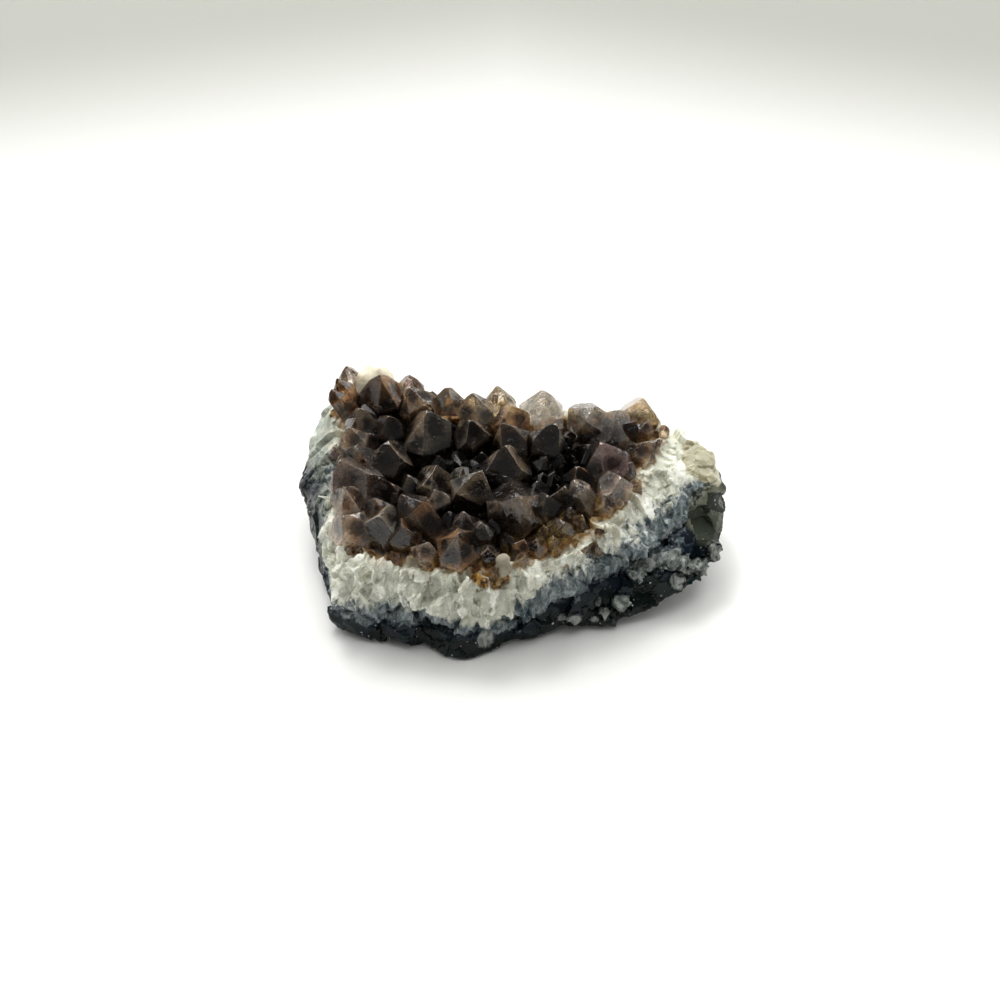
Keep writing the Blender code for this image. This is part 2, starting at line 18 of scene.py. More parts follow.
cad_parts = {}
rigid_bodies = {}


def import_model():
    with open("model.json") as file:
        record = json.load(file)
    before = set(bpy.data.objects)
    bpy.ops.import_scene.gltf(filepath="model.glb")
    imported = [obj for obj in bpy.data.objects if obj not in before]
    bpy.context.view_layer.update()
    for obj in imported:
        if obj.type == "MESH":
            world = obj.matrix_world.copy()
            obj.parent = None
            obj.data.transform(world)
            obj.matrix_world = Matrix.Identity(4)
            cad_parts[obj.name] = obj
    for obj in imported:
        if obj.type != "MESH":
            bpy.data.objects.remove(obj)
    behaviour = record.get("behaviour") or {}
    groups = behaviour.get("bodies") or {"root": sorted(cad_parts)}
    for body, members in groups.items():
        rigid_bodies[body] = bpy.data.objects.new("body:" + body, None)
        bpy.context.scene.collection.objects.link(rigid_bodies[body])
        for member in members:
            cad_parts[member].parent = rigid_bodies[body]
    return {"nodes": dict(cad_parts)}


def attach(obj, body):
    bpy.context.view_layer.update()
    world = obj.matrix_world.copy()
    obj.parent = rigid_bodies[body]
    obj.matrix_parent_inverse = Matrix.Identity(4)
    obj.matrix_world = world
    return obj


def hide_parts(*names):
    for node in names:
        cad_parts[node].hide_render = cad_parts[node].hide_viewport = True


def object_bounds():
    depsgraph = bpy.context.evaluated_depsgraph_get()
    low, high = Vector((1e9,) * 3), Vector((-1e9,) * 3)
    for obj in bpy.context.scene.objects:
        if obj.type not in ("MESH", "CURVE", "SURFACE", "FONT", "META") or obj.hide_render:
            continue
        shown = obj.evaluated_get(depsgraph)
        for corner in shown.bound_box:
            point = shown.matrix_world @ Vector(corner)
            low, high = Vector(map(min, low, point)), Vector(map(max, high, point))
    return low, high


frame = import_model()
cad_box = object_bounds()

MM = 0.001
PLAN_SHIFT = np.array([0.415, 0.415, 0.0])
PLAN_CENTRE = np.array([-2.0, -1.0])

# Camera: looks along +Y, down by this angle, at a point of the plan frame
VIEW_ELEVATION = math.radians(42.0)
VIEW_DISTANCE = 0.34
VIEW_TARGET = np.array([-3.1, 0.0, 18.0])
LENS_MM = 51.0

# Outline of the rim around the crystals
RIM_RING = [
    (37.2, 11.5, 28.6), (34.4, 5.5, 27.5), (30.2, -3.6, 26.0), (25.2, -11.9, 25.0),
    (20.0, -18.9, 24.0), (13.8, -23.2, 23.0), (7.0, -26.0, 22.0), (-0.9, -28.6, 21.0),
    (-6.4, -30.6, 20.5), (-12.0, -30.6, 20.5), (-18.7, -28.5, 21.0), (-25.6, -26.2, 21.5),
    (-32.3, -25.7, 22.0), (-38.6, -24.0, 22.5), (-40.9, -19.0, 22.8), (-42.0, -12.5, 23.0),
    (-42.8, -4.0, 23.8), (-43.4, 6.0, 24.6), (-44.2, 14.0, 25.5), (-45.0, 23.0, 26.2),
    (-43.5, 30.0, 26.6), (-37.0, 32.6, 26.8), (-28.0, 29.4, 26.8), (-18.0, 24.6, 27.0),
    (-5.0, 22.6, 27.4), (8.0, 21.2, 28.0), (20.0, 20.6, 28.4), (29.0, 20.8, 28.8),
    (35.0, 17.6, 28.8),
]
# Where the dark rind ends and where the cream quartz starts, with blue-grey between them
DARK_EDGE = [
    (47.5, 1.2, 22.7), (42.8, -2.1, 22.4), (40.8, -7.0, 18.9), (37.8, -11.9, 15.4),
    (32.0, -14.8, 14.6), (24.5, -19.9, 13.8), (15.4, -23.6, 10.6), (8.1, -27.1, 10.4),
    (0.3, -30.9, 5.6), (-4.9, -32.1, 4.6), (-8.6, -33.3, 6.4), (-15.7, -32.3, 7.8),
    (-18.0, -30.3, 8.0), (-26.5, -29.8, 6.5), (-30.9, -29.4, 6.7), (-38.2, -27.8, 6.7),
    (-43.0, -19.0, 6.5), (-45.0, -11.0, 8.0), (-46.6, -6.0, 15.5), (-48.0, -1.0, 19.5),
    (-50.0, 5.0, 22.2), (-51.0, 10.0, 21.0), (-52.2, 14.5, 15.0), (-51.2, 24.5, 12.4),
    (-45.6, 32.6, 13.0), (-24.0, 31.8, 13.5), (5.0, 27.6, 16.0), (33.0, 23.2, 19.0),
    (48.2, 10.5, 22.0),
]
CREAM_EDGE = [
    (45.7, 1.4, 23.8), (40.9, -1.1, 23.6), (33.9, -7.4, 22.2), (28.2, -12.7, 21.0),
    (20.6, -18.9, 20.5), (13.2, -23.5, 18.0), (6.1, -27.7, 16.5), (0.3, -29.2, 12.5),
    (-2.4, -30.6, 8.0), (-8.6, -33.3, 9.0), (-15.7, -31.8, 10.0), (-19.3, -29.2, 11.4),
    (-24.2, -29.3, 13.8), (-29.9, -28.4, 12.8), (-35.3, -27.7, 11.8), (-42.8, -19.0, 9.5),
    (-45.0, -11.0, 13.0), (-46.6, -6.0, 21.0), (-48.0, -1.0, 26.0), (-50.0, 5.0, 28.0),
    (-51.0, 10.0, 26.5), (-52.2, 14.5, 21.0), (-51.2, 24.5, 16.5), (-45.6, 32.6, 17.0),
    (-24.0, 31.8, 17.5), (5.0, 27.6, 20.0), (33.0, 23.2, 23.0), (48.2, 10.5, 24.5),
]
# The crystals' bed: a shallow bowl that rises to the right and to the back
BED_HEIGHT = 24.8
BED_RISE_X = 0.06
BED_RISE_Y = 0.11
BOWL_DEPTH = 2.2
BOWL_RADIUS = 34.0
# The sheet of roots, as rings: share of the rim's radius, lift over the rim or the bed
CRUST_SHARE = 0.97
CRUST_RINGS = ((CRUST_SHARE, -4.5), (CRUST_SHARE, -1.8), (0.7, 0.0), (0.35, 0.0))
CRUST_STATIONS = 60

# name: tip x, y, z, lean to the right and to the back in degrees, radius, turn, look
CRYSTALS = {
    "edge_tip_clear": (-41.2, 29.4, 36.0, -16, 4, 2.4, 10, "clear"),
    "brown_blade_a": (-43.0, 24.2, 36.2, -28, 12, 2.7, 25, "brown"),
    "brown_blade_b": (-44.2, 21.4, 35.0, -30, 8, 2.4, 5, "brown"),
    "dark_pyramid": (-32.3, 24.6, 37.0, -4, 4, 6.3, 0, "brown"),
    "lilac_stub": (-25.4, 27.4, 34.8, 2, 10, 3.4, 15, "lilac"),
    "leaning_wedge": (-25.2, 20.4, 36.4, -24, 8, 4.8, 35, "dark"),
    "back_stub": (-19.6, 22.0, 34.0, 6, 10, 2.9, 20, "clear"),
    "brown_back_a": (-37.0, 14.6, 34.2, -6, 0, 4.0, 40, "brown"),
    "brown_back_b": (-29.8, 12.6, 33.6, 0, 0, 3.8, 12, "dark"),
    "bright_knob": (-39.4, 8.6, 33.4, -14, 0, 4.2, 22, "clear"),
    "amber_block": (-37.2, 2.2, 33.0, -8, -5, 5.0, 50, "brown"),
    "lilac_wedge": (-40.0, -4.2, 34.0, -24, 4, 6.3, 8, "lilac"),
    "olive_block": (-29.6, 2.6, 33.6, -4, 4, 5.6, 30, "dark"),
    "grey_giant": (-20.4, 12.6, 35.0, 0, 6, 6.9, 0, "dark"),
    "green_facet": (-17.8, -3.4, 32.0, 8, 10, 4.8, 42, "dark"),
    "smoky_pyramid": (-15.4, 20.2, 36.2, 0, 5, 4.9, 30, "brown"),
    "flat_faced": (-9.6, 19.0, 35.6, -6, 5, 5.1, 18, "dark"),
    "golden_tip": (-3.6, 22.0, 35.4, -3, 12, 3.9, 36, "clear"),
    "purple_stub": (-0.4, 15.2, 35.0, 0, 0, 4.9, 3, "brown"),
    "striped_clear": (7.4, 19.6, 35.8, 3, 6, 6.2, 27, "bright"),
    "olive_dark": (-2.8, 9.6, 34.0, -20, 0, 5.6, 14, "dark"),
    "black_blade": (-10.4, 10.4, 34.0, -5, 0, 4.4, 46, "dark"),
    "grey_triangle": (9.9, 8.2, 34.8, 16, 4, 4.7, 33, "dark"),
    "centre_purple": (-1.6, 1.0, 34.0, -3, 2, 6.6, 9, "dark"),
    "pale_green_chip": (-11.6, -3.6, 31.6, 0, 10, 3.5, 28, "dark"),
    "lying_prism": (13.4, 15.4, 33.8, -52, 5, 4.0, 1, "bright"),
    "big_clear": (24.2, 12.2, 35.4, -8, -8, 6.0, 17, "bright"),
    "golden_back": (31.2, 16.8, 35.6, 12, 4, 5.9, 41, "clear"),
    "lilac_right": (20.6, 0.8, 35.0, -12, 2, 6.0, 31, "lilac"),
    "lower_right": (24.6, -7.6, 31.8, 16, -10, 4.4, 6, "clear"),
    "olive_gap": (17.6, 4.0, 31.8, 0, 0, 3.6, 24, "dark"),
    "brown_sheaf": (14.8, -4.4, 32.0, -8, 0, 4.4, 48, "brown"),
    "clear_spear": (13.6, -8.2, 31.4, -32, 20, 2.6, 0, "clear"),
    "amber_stub": (11.8, -9.2, 30.4, 0, -6, 3.9, 19, "brown"),
    "left_knob": (-38.6, -10.6, 31.4, -14, -6, 4.8, 37, "clear"),
    "corner_cluster": (-38.4, -18.8, 29.8, -18, -16, 4.8, 11, "clear"),
    "sparkling_left": (-30.4, -18.2, 29.8, -4, -16, 4.8, 23, "clear"),
    "brown_front": (-25.0, -20.6, 28.6, -2, -20, 3.9, 44, "brown"),
    "long_prism": (-25.4, -13.0, 31.6, -36, 18, 4.2, 7, "brown"),
    "small_sparkle": (-18.2, -10.0, 30.2, -6, 0, 3.3, 34, "clear"),
    "pale_face": (-31.4, -13.2, 30.2, -4, -6, 4.1, 16, "brown"),
    "brown_sliver": (-21.6, -25.4, 27.0, -24, -16, 2.5, 29, "clear"),
    "olive_point": (-7.2, -5.6, 32.0, 24, 6, 5.2, 38, "dark"),
    "big_front": (1.4, -15.6, 32.8, 2, -26, 7.0, 2, "dark"),
    "purple_tooth": (-11.3, -16.6, 29.4, -4, 0, 2.9, 20, "lilac"),
    "brown_tooth": (-7.4, -19.4, 28.6, -2, -8, 2.8, 50, "clear"),
    "front_bullet": (-12.6, -25.4, 30.2, -1, -18, 5.6, 13, "brown"),
    "round_nub": (-5.8, -25.4, 26.2, 0, -16, 2.2, 32, "clear"),
    "clear_nub": (2.6, -27.0, 25.2, 4, -20, 2.4, 26, "clear"),
    "edge_prism": (7.8, -12.6, 30.6, 6, -6, 4.0, 10, "dark"),
    "pale_edge": (11.4, -18.4, 27.8, 10, -16, 3.4, 39, "clear"),
    "right_cap": (32.4, 4.4, 32.4, 22, -4, 3.4, 45, "clear"),
    "left_root": (-31.0, -6.4, 30.6, -6, 0, 4.0, 21, "brown"),
    "hollow_wall": (-24.4, -4.4, 29.6, 0, 0, 3.8, 2, "dark"),
    "dark_floor": (5.6, -5.6, 28.8, 0, 0, 3.6, 30, "dark"),
}
# The looks on one scale, from nearly black to colourless
LOOK_NUMBER = {"dark": 0.0, "brown": 0.33, "lilac": 0.66, "clear": 1.0, "bright": 1.3}

# One crystal: slope of its tip faces, and how unevenly its faces stand round the axis
TIP_FACE_SLOPE = math.radians(51.8)
TIP_SLOPE_SCATTER = 1.0
SIDE_FACE_REACH = (0.82, 1.12)
LARGE_TIP_FACE = (0.0, 0.08)
SMALL_TIP_FACE = 0.05
BACK_ROW = 18.0
BACK_ROW_TIPS = 0.25
OTHER_TIPS = (0.2, 0.8)
SWELL = 1.14
ROOT_LENGTH = 4.5
EDGE_BEVEL = 0.1
BEVEL_SHARE = 0.05
SHAPE_SEED = 12

# Crystals grown in the room that the named ones leave; rise is in mm over the bed
FILLERS = {"count": 46, "radii": (1.8, 3.1), "share": 0.9, "spread": 12.0, "seed": 11,
           "overlap": 0.55, "rise": 2.6}
SMALL_ONES = {"count": 130, "radii": (0.7, 1.6), "share": 0.99, "spread": 22.0, "seed": 40,
              "overlap": 0.5, "rise": 1.8}
GROWN_AREA = ((-44.0, 37.0), (-31.0, 33.0))
GROWN_LEAN = 0.5
GROWN_SLENDERNESS = 1.2
GROWN_LOOK = (0.2, 1.0)
LOOK_SEED = 40
# Grown crystals' looks lighten from the middle to the rim: painted shade in the middle, painted
# light at the rim
RIM_NEARNESS = (0.45, 0.9)

# What the crystals' material reads from their faces
FACET_SEED = 8
SIDE_FACE_LIMIT = 0.3
RIM_ZONE = (-14.0, -2.0)

# Broken surfaces: each kind of facet has a size, tilt, step and seed
WELD_DISTANCE = 0.00001
RIND_VOXEL = 0.5
BAND_VOXEL = 0.45
CALCITE_VOXEL = 0.3
SEAM_CLOSE = 0.18
RIND_BIG_FACETS = (7.0, 0.2, 0.6, 11)
RIND_SMALL_FACETS = (3.0, 0.12, 0.1, 17)
RIND_CRUMBS = (1.7, 0.7, 0.5, 29)
BAND_BIG_FACETS = (6.0, 0.36, 0.3, 31)
BAND_SMALL_FACETS = (1.8, 0.5, 0.08, 37)
BAND_COLUMNS = np.array([1.0, 1.0, 0.5])
CALM_SMALL_FACETS = 0.75
CALM_BIG_FACETS = 0.5
# Noise: size and seed, with its height beside it
RIND_PITS, PIT_DEPTH = (4.0, 23), 0.35
BAND_SUGAR, SUGAR_HEIGHT = (0.9, 43), 0.12
NUB_LUMPS, NUB_HEIGHT = (1.6, 45), 0.3
CALCITE_LUMPS, CALCITE_LUMP_HEIGHT = (3.2, 61), 0.6
CALCITE_GRAIN, CALCITE_GRAIN_HEIGHT = (1.0, 67), 0.1
RAGGED_EDGE, RAGGED_DEPTH = (1.6, 71), 0.3
RAGGED_BED, RAGGED_BED_DEPTH = (3.0, 91), 2.4
FLOOR_CONTACT = (0.8, 0.15)
# Where along X the left side's smooth shell and the plain right end fade in
LEFT_CALM = (-43.5, -46.0)
LEFT_SHELL = (-42.5, -45.5)
RIGHT_CALM = (24.0, 32.0)
RIGHT_CALM_SHARE = 0.6
RIGHT_PLAIN = (18.0, 32.0)
# Lumps grown on a surface: centre x, y, z, then half sizes along x, y, z
RIND_LUMPS = [
    (25.1, -22.8, 6.0, 2.2, 1.8, 2.2), (21.4, -23.8, 4.8, 1.3, 1.2, 1.1),
    (19.7, -23.3, 7.4, 0.8, 0.9, 0.9), (18.6, -24.6, 3.3, 1.1, 0.9, 0.8),
    (28.2, -18.2, 12.2, 2.2, 1.6, 1.9), (30.8, -16.4, 13.0, 2.4, 1.7, 1.9),
    (33.8, -15.4, 12.8, 2.5, 1.8, 1.8), (37.0, -15.0, 12.0, 2.6, 1.8, 1.8),
    (40.4, -15.0, 10.8, 2.6, 1.8, 1.8), (43.8, -14.2, 9.8, 2.4, 1.8, 1.8),
    (38.2, -17.8, 8.2, 1.6, 1.5, 2.2), (47.0, -10.6, 11.0, 1.5, 1.9, 1.9),
]
BAND_LUMPS = [(-2.5, -27.4, 24.6, 1.5, 1.4, 1.6), (-2.4, -27.9, 22.6, 1.7, 1.5, 2.0)]
PATCH_LUMPS = [(12.7, -26.3, 4.8, 3.0, 1.0, 1.3), (-6.4, -32.8, 4.8, 1.8, 1.5, 2.4)]
STAINS = [
    (-3.4, -29.0, 20.4, 2.8, 2.4, 2.6), (-7.4, -29.4, 20.6, 2.4, 1.8, 1.4),
    (-25.7, -23.0, 23.2, 3.6, 2.4, 2.2), (9.0, -19.0, 24.6, 4.4, 3.6, 3.0),
    (14.5, -16.6, 25.4, 4.4, 3.8, 3.0), (18.5, -12.6, 26.0, 3.0, 3.0, 3.0),
    (34.2, 12.6, 29.0, 1.4, 2.2, 2.6), (35.2, 9.6, 28.0, 1.0, 1.2, 1.6),
    (-44.0, 23.0, 27.0, 1.8, 2.4, 2.4),
]
# The yellowish chip and the olive face under it, at the right end
CHIP_CENTRE = np.array([46.0, 6.0, 25.0])
CHIP_SIZE = np.array([5.2, 5.0, 4.0])
OLIVE_CENTRE = np.array([47.0, -4.5, 18.0])
OLIVE_SIZE = np.array([9.0, 8.5, 6.5])

# Light: sky strength in front and behind, its panels, the soft box, and the exposure
SKY_STRENGTH = (0.12, 2.3)
SKY_HEIGHT_SHARE = 0.6
PANEL_SCALE = 2.4
PANEL_EDGE = (0.47, 0.57)
PANEL_STRENGTH = (0.25, 2.0)
SKY_COLOUR = (1.0, 1.0, 0.98, 1.0)
LAMP_PLACE = (-0.12, 0.22, 0.5)
LAMP_AIM = (0.0, 0.0, 0.02)
LAMP_SIZE = (0.16, 0.12)
LAMP_WATTS = 0.6
EXPOSURE = 0.15
FLOOR_HALF_SIZE = 3.0
# Painted shade: the floor darkens between these distances behind the part, sooner out to the
# sides
FLOOR_FADE = (0.15, 0.36)
FLOOR_FADE_ASIDE = 0.3

# The wall's layers are drawn out along Z by this share
LAYER_STRETCH = 0.45
# Finish of a wall: lowest roughness, grit in mm, specular level, subsurface weight
RIND_FINISH = (0.2, 0.03, 0.15, 0.12)
BAND_FINISH = (0.3, 0.07, 0.4, 0.45)
QUARTZ_IOR = 1.544
QUARTZ_CLARITY = 0.88
QUARTZ_DENSITY = 40.0

# Colours, each as linear red, green and blue
PALETTE = {
    "rind_black": (0.001, 0.004, 0.003), "rind_green": (0.003, 0.012, 0.011),
    "rind_blue": (0.003, 0.008, 0.016),
    "olive_dark": (0.035, 0.042, 0.03), "olive_pale": (0.16, 0.165, 0.12),
    "blue_dark": (0.035, 0.06, 0.075), "blue_pale": (0.36, 0.4, 0.4),
    "shell_dark": (0.03, 0.04, 0.034), "shell_pale": (0.26, 0.29, 0.24),
    "shell_milk": (0.27, 0.3, 0.26),
    "cream_dark": (0.62, 0.63, 0.53), "cream_pale": (0.92, 0.92, 0.8),
    # The sparkle colour on the next line is painted glints
    "cream_clear": (0.46, 0.47, 0.38), "cream_painted_glint": (0.93, 0.94, 0.85),
    "chip_dark": (0.36, 0.33, 0.2), "chip_pale": (0.56, 0.54, 0.42),
    "fleck": (0.4, 0.45, 0.42),
    "crust_dark": (0.09, 0.105, 0.1), "crust_pale": (0.36, 0.38, 0.35),
    "rust_dark": (0.03, 0.013, 0.003), "rust_bright": (0.34, 0.18, 0.025),
    "bed_amber_dark": (0.2, 0.1, 0.03), "bed_amber_pale": (0.6, 0.42, 0.2),
    # The next colour is painted shade, nearly black, under the crystals
    "bed_painted_shade": (0.02, 0.011, 0.007),
    "nub_dark": (0.18, 0.15, 0.1), "nub_pale": (0.46, 0.42, 0.32),
    "quartz_dark": (0.42, 0.31, 0.21), "quartz_brown": (0.62, 0.35, 0.18),
    "quartz_lilac": (0.62, 0.43, 0.39), "quartz_clear": (1.0, 0.78, 0.6),
    # The sheen colour on the next line is a painted reflection
    "quartz_bright": (1.0, 0.93, 0.87), "quartz_painted_sheen": (0.42, 0.42, 0.33),
    # Painted shade: the next line's two colours darken the middle of faces and whole faces
    "painted_core_shade": (0.03, 0.018, 0.014), "painted_face_shade": (0.024, 0.016, 0.013),
    # The gap colour on the next line is painted shade among the crystals' roots
    "veil": (1.0, 0.92, 0.86), "gap_painted_shade": (0.01, 0.007, 0.005),
    "stain_dark": (0.2, 0.1, 0.025), "stain_bright": (1.0, 0.68, 0.2),
    "absorption": (0.54, 0.38, 0.3),
    "calcite_pale": (0.84, 0.77, 0.6), "calcite_dark": (0.68, 0.61, 0.45),
    # The floor's second colour is painted shade far behind the part
    "floor_white": (0.9, 0.9, 0.89), "floor_painted_shade": (0.39, 0.395, 0.36),
}


def hash_unit(cells_xyz, seed):
    """A repeatable number from 0 to 1 for each whole-number cell."""
    x, y, z = (cells_xyz[..., i].astype(np.uint64) for i in range(3))
    mixed = x * np.uint64(73856093) ^ y * np.uint64(19349663) ^ z * np.uint64(83492791)
    mixed ^= np.uint64(seed * 2654435761 % 2**32)
    mixed = (mixed ^ (mixed >> np.uint64(15))) * np.uint64(2246822519)
    mixed &= np.uint64(0xFFFFFFFF)
    mixed = (mixed ^ (mixed >> np.uint64(13))) * np.uint64(3266489917)
    mixed &= np.uint64(0xFFFFFFFF)
    return (mixed ^ (mixed >> np.uint64(16))).astype(np.float64) / 2**32


def smooth_noise(points, size, seed):
    """Value noise from -1 to 1 with lumps of about this size."""
    scaled = points / size + 500.0
    cell = np.floor(scaled).astype(np.int64)
    part = scaled - cell
    part = part * part * (3 - 2 * part)
    total = np.zeros(len(points))
    for corner in itertools.product((0, 1), repeat=3):
        weight = np.ones(len(points))
        for i, c in enumerate(corner):
            weight *= part[:, i] if c else 1 - part[:, i]
        total += weight * hash_unit(cell + np.array(corner), seed)
    return 2 * total - 1


def layered_noise(points, size, seed, layers=3):
    total = np.zeros(len(points))
    for i in range(layers):
        total += smooth_noise(points, size / 2**i, seed + i) / 2**i
    return total / (2 - 2 / 2**layers)


def grains(points, size, seed):
    """Voronoi grains: number of each point's grain, and its offset from the grain's middle."""
    scaled = points / size + 500.0
    home = np.floor(scaled).astype(np.int64)
    best = np.full(len(points), np.inf)
    offset = np.zeros_like(points)
    number = np.zeros(len(points))
    for step in itertools.product((-1, 0, 1), repeat=3):
        cell = home + np.array(step)
        centre = cell + np.column_stack([hash_unit(cell, seed + k) for k in range(3)])
        away = scaled - centre
        distance = np.linalg.norm(away, axis=1)
        closer = distance < best
        best = np.where(closer, distance, best)
        offset[closer] = away[closer] * size
        number = np.where(closer, hash_unit(cell, seed + 3), number)
    return number, offset


def facets(points, size, tilt, step, seed):
    """Heights of a broken surface: each grain is a flat facet with its own tilt and level."""
    number, offset = grains(points, size, seed)
    angle = number * 97.0 % 1.0 * math.tau
    rise = (number * 57.0 % 1.0 - 0.5) * 2.0
    slope = np.column_stack([np.cos(angle), np.sin(angle), rise])
    return tilt * np.sum(offset * slope, axis=1) + step * (number - 0.5), number


def ring_at(ring, points):
    """Radius and height of a ring at the angle of each point, and the points' own radius."""
    table = np.array(ring)
    around = np.arctan2(table[:, 1] - PLAN_CENTRE[1], table[:, 0] - PLAN_CENTRE[0])
    reach = np.hypot(table[:, 0] - PLAN_CENTRE[0], table[:, 1] - PLAN_CENTRE[1])
    angle = np.arctan2(points[:, 1] - PLAN_CENTRE[1], points[:, 0] - PLAN_CENTRE[0])
    own = np.hypot(points[:, 0] - PLAN_CENTRE[0], points[:, 1] - PLAN_CENTRE[1])
    radius = np.interp(angle, around, reach, period=math.tau)
    height = np.interp(angle, around, table[:, 2], period=math.tau)
    return radius, height, own


def bed_height(x, y):
    away = np.hypot(x - PLAN_CENTRE[0], y - PLAN_CENTRE[1])
    bowl = BOWL_DEPTH * np.clip(1.0 - (away / BOWL_RADIUS) ** 2, 0.0, 1.0)
    return BED_HEIGHT + BED_RISE_X * x + BED_RISE_Y * y - bowl


def smoothstep(low, high, value):
    share = np.clip((value - low) / (high - low), 0.0, 1.0)
    return share * share * (3 - 2 * share)


def mesh_points(mesh):
    """Vertex positions in plan millimetres."""
    flat = np.empty(len(mesh.vertices) * 3, np.float32)
    mesh.vertices.foreach_get("co", flat)
    return flat.reshape(-1, 3).astype(np.float64) / MM - PLAN_SHIFT


def set_points(mesh, points):
    world = np.clip((points + PLAN_SHIFT) * MM, np.array(cad_box[0]), np.array(cad_box[1]))
    mesh.vertices.foreach_set("co", world.astype(np.float32).ravel())
    mesh.update()


def mesh_normals(mesh):
    flat = np.empty(len(mesh.vertices) * 3, np.float32)
    mesh.vertex_normals.foreach_get("vector", flat)
    return flat.reshape(-1, 3).astype(np.float64)


def add_values(mesh, name, values, domain="POINT"):
    layer = mesh.attributes.new(name, "FLOAT", domain)
    layer.data.foreach_set("value", np.asarray(values, np.float32))


def link_object(name, mesh):
    obj = bpy.data.objects.new(name, mesh)
    bpy.context.scene.collection.objects.link(obj)
    return obj


def evaluated_mesh(obj):
    bpy.context.view_layer.update()
    graph = bpy.context.evaluated_depsgraph_get()
    return bpy.data.meshes.new_from_object(obj.evaluated_get(graph))


def fine_mesh(node, name, voxel, lumps=()):
    """The node's solid, with its lumps, as an even, closed, dense mesh."""
    source = frame["nodes"][node].data.copy()
    bm = bmesh.new()
    bm.from_mesh(source)
    for x, y, z, *half_sizes in lumps:
        centre = Vector(np.array([x, y, z]) + PLAN_SHIFT) * MM
        size = Matrix.Diagonal(Vector(half_sizes) * MM).to_4x4()
        place_there = Matrix.Translation(centre) @ size
        bmesh.ops.create_icosphere(bm, subdivisions=2, radius=1.0, matrix=place_there)
    bm.to_mesh(source)
    bm.free()
    work = link_object(name + "_work", source)
    weld = work.modifiers.new("weld", "WELD")
    weld.merge_threshold = WELD_DISTANCE
    remesh = work.modifiers.new("remesh", "REMESH")
    remesh.mode = "VOXEL"
    remesh.voxel_size = voxel * MM
    mesh = evaluated_mesh(work)
    mesh.name = name
    mesh.materials.clear()
    bpy.data.objects.remove(work)
    return mesh


def near_lump(points, lumps, reach):
    """1 inside the lumps, falling to 0 at this many times their size."""
    ragged = RAGGED_DEPTH * layered_noise(points, *RAGGED_EDGE)
    most = np.zeros(len(points))
    for x, y, z, *half_sizes in lumps:
        distance = np.linalg.norm((points - np.array([x, y, z])) / np.array(half_sizes), axis=1)
        most = np.maximum(most, smoothstep(reach, 0.85 * reach, distance + ragged))
    return most


def calm_zone(points):
    """1 where the stone broke in a few large smooth faces: its left side and its right end."""
    left = smoothstep(*LEFT_CALM, points[:, 0])
    right = RIGHT_CALM_SHARE * smoothstep(*RIGHT_CALM, points[:, 0])
    chip = np.linalg.norm((points - CHIP_CENTRE) / CHIP_SIZE, axis=1)
    olive = np.linalg.norm((points - OLIVE_CENTRE) / OLIVE_SIZE, axis=1)
    return np.maximum.reduce([left, right, smoothstep(1.3, 0.9, np.minimum(chip, olive))])


def layer_values(mesh, points, grain):
    """Values that both the rind and the band colour themselves by."""
    _, dark_height, _ = ring_at(DARK_EDGE, points)
    _, cream_height, _ = ring_at(CREAM_EDGE, points)
    rim_radius, rim_height, own = ring_at(RIM_RING, points)
    above_bed = points[:, 2] - bed_height(points[:, 0], points[:, 1])
    ragged = RAGGED_BED_DEPTH * layered_noise(points, *RAGGED_BED)
    inside = smoothstep(-0.5, -9.0, own - rim_radius + ragged)
    level = (points[:, 2] - dark_height) / np.maximum(cream_height - dark_height, 1.5)
    add_values(mesh, "level", level)
    add_values(mesh, "grain", grain)
    # How far under the crystals the band lies: amber stain first, painted shade deeper in
    add_values(mesh, "under", inside * smoothstep(-6.0, -2.0, above_bed))
    add_values(mesh, "from_rim", own - rim_radius)
    add_values(mesh, "stained", near_lump(points, STAINS, 1.1))
    add_values(mesh, "shell", smoothstep(*LEFT_SHELL, points[:, 0]))
    add_values(mesh, "right", smoothstep(*RIGHT_PLAIN, points[:, 0]))
    add_values(mesh, "rim_depth", rim_height - points[:, 2])
    add_values(mesh, "pale", near_lump(points, RIND_LUMPS + PATCH_LUMPS, 1.15))
    add_values(mesh, "nub", near_lump(points, BAND_LUMPS, 1.15))
    chip = np.abs((points - CHIP_CENTRE) / CHIP_SIZE).max(axis=1)
    add_values(mesh, "chip", smoothstep(1.03, 0.97, chip + 0.15 * (grain - 0.5)))
    olive = np.linalg.norm((points - OLIVE_CENTRE) / OLIVE_SIZE, axis=1)
    add_values(mesh, "olive", smoothstep(1.1, 0.9, olive + 0.5 * (grain - 0.5)))


def make_rind():
    mesh = fine_mesh("chalcedony_rind", "rind_surface", RIND_VOXEL, RIND_LUMPS)
    points, normals = mesh_points(mesh), mesh_normals(mesh)
    big, number = facets(points, *RIND_BIG_FACETS)
    small, _ = facets(points, *RIND_SMALL_FACETS)
    small = small * (1 - CALM_SMALL_FACETS * calm_zone(points))
    pits = np.minimum(layered_noise(points, *RIND_PITS), 0.0) * PIT_DEPTH
    crumbs, _ = facets(points, *RIND_CRUMBS)
    crust = near_lump(points, RIND_LUMPS, 1.5) * crumbs
    on_floor = smoothstep(*FLOOR_CONTACT, points[:, 2])
    push = (big + small + pits + crust) * (1 - on_floor) + SEAM_CLOSE
    moved = points + normals * push[:, None]
    moved[:, 2] = np.where(on_floor > 0.5, points[:, 2], moved[:, 2])
    layer_values(mesh, points, number)
    set_points(mesh, moved)
    return link_object("rind_surface", mesh)


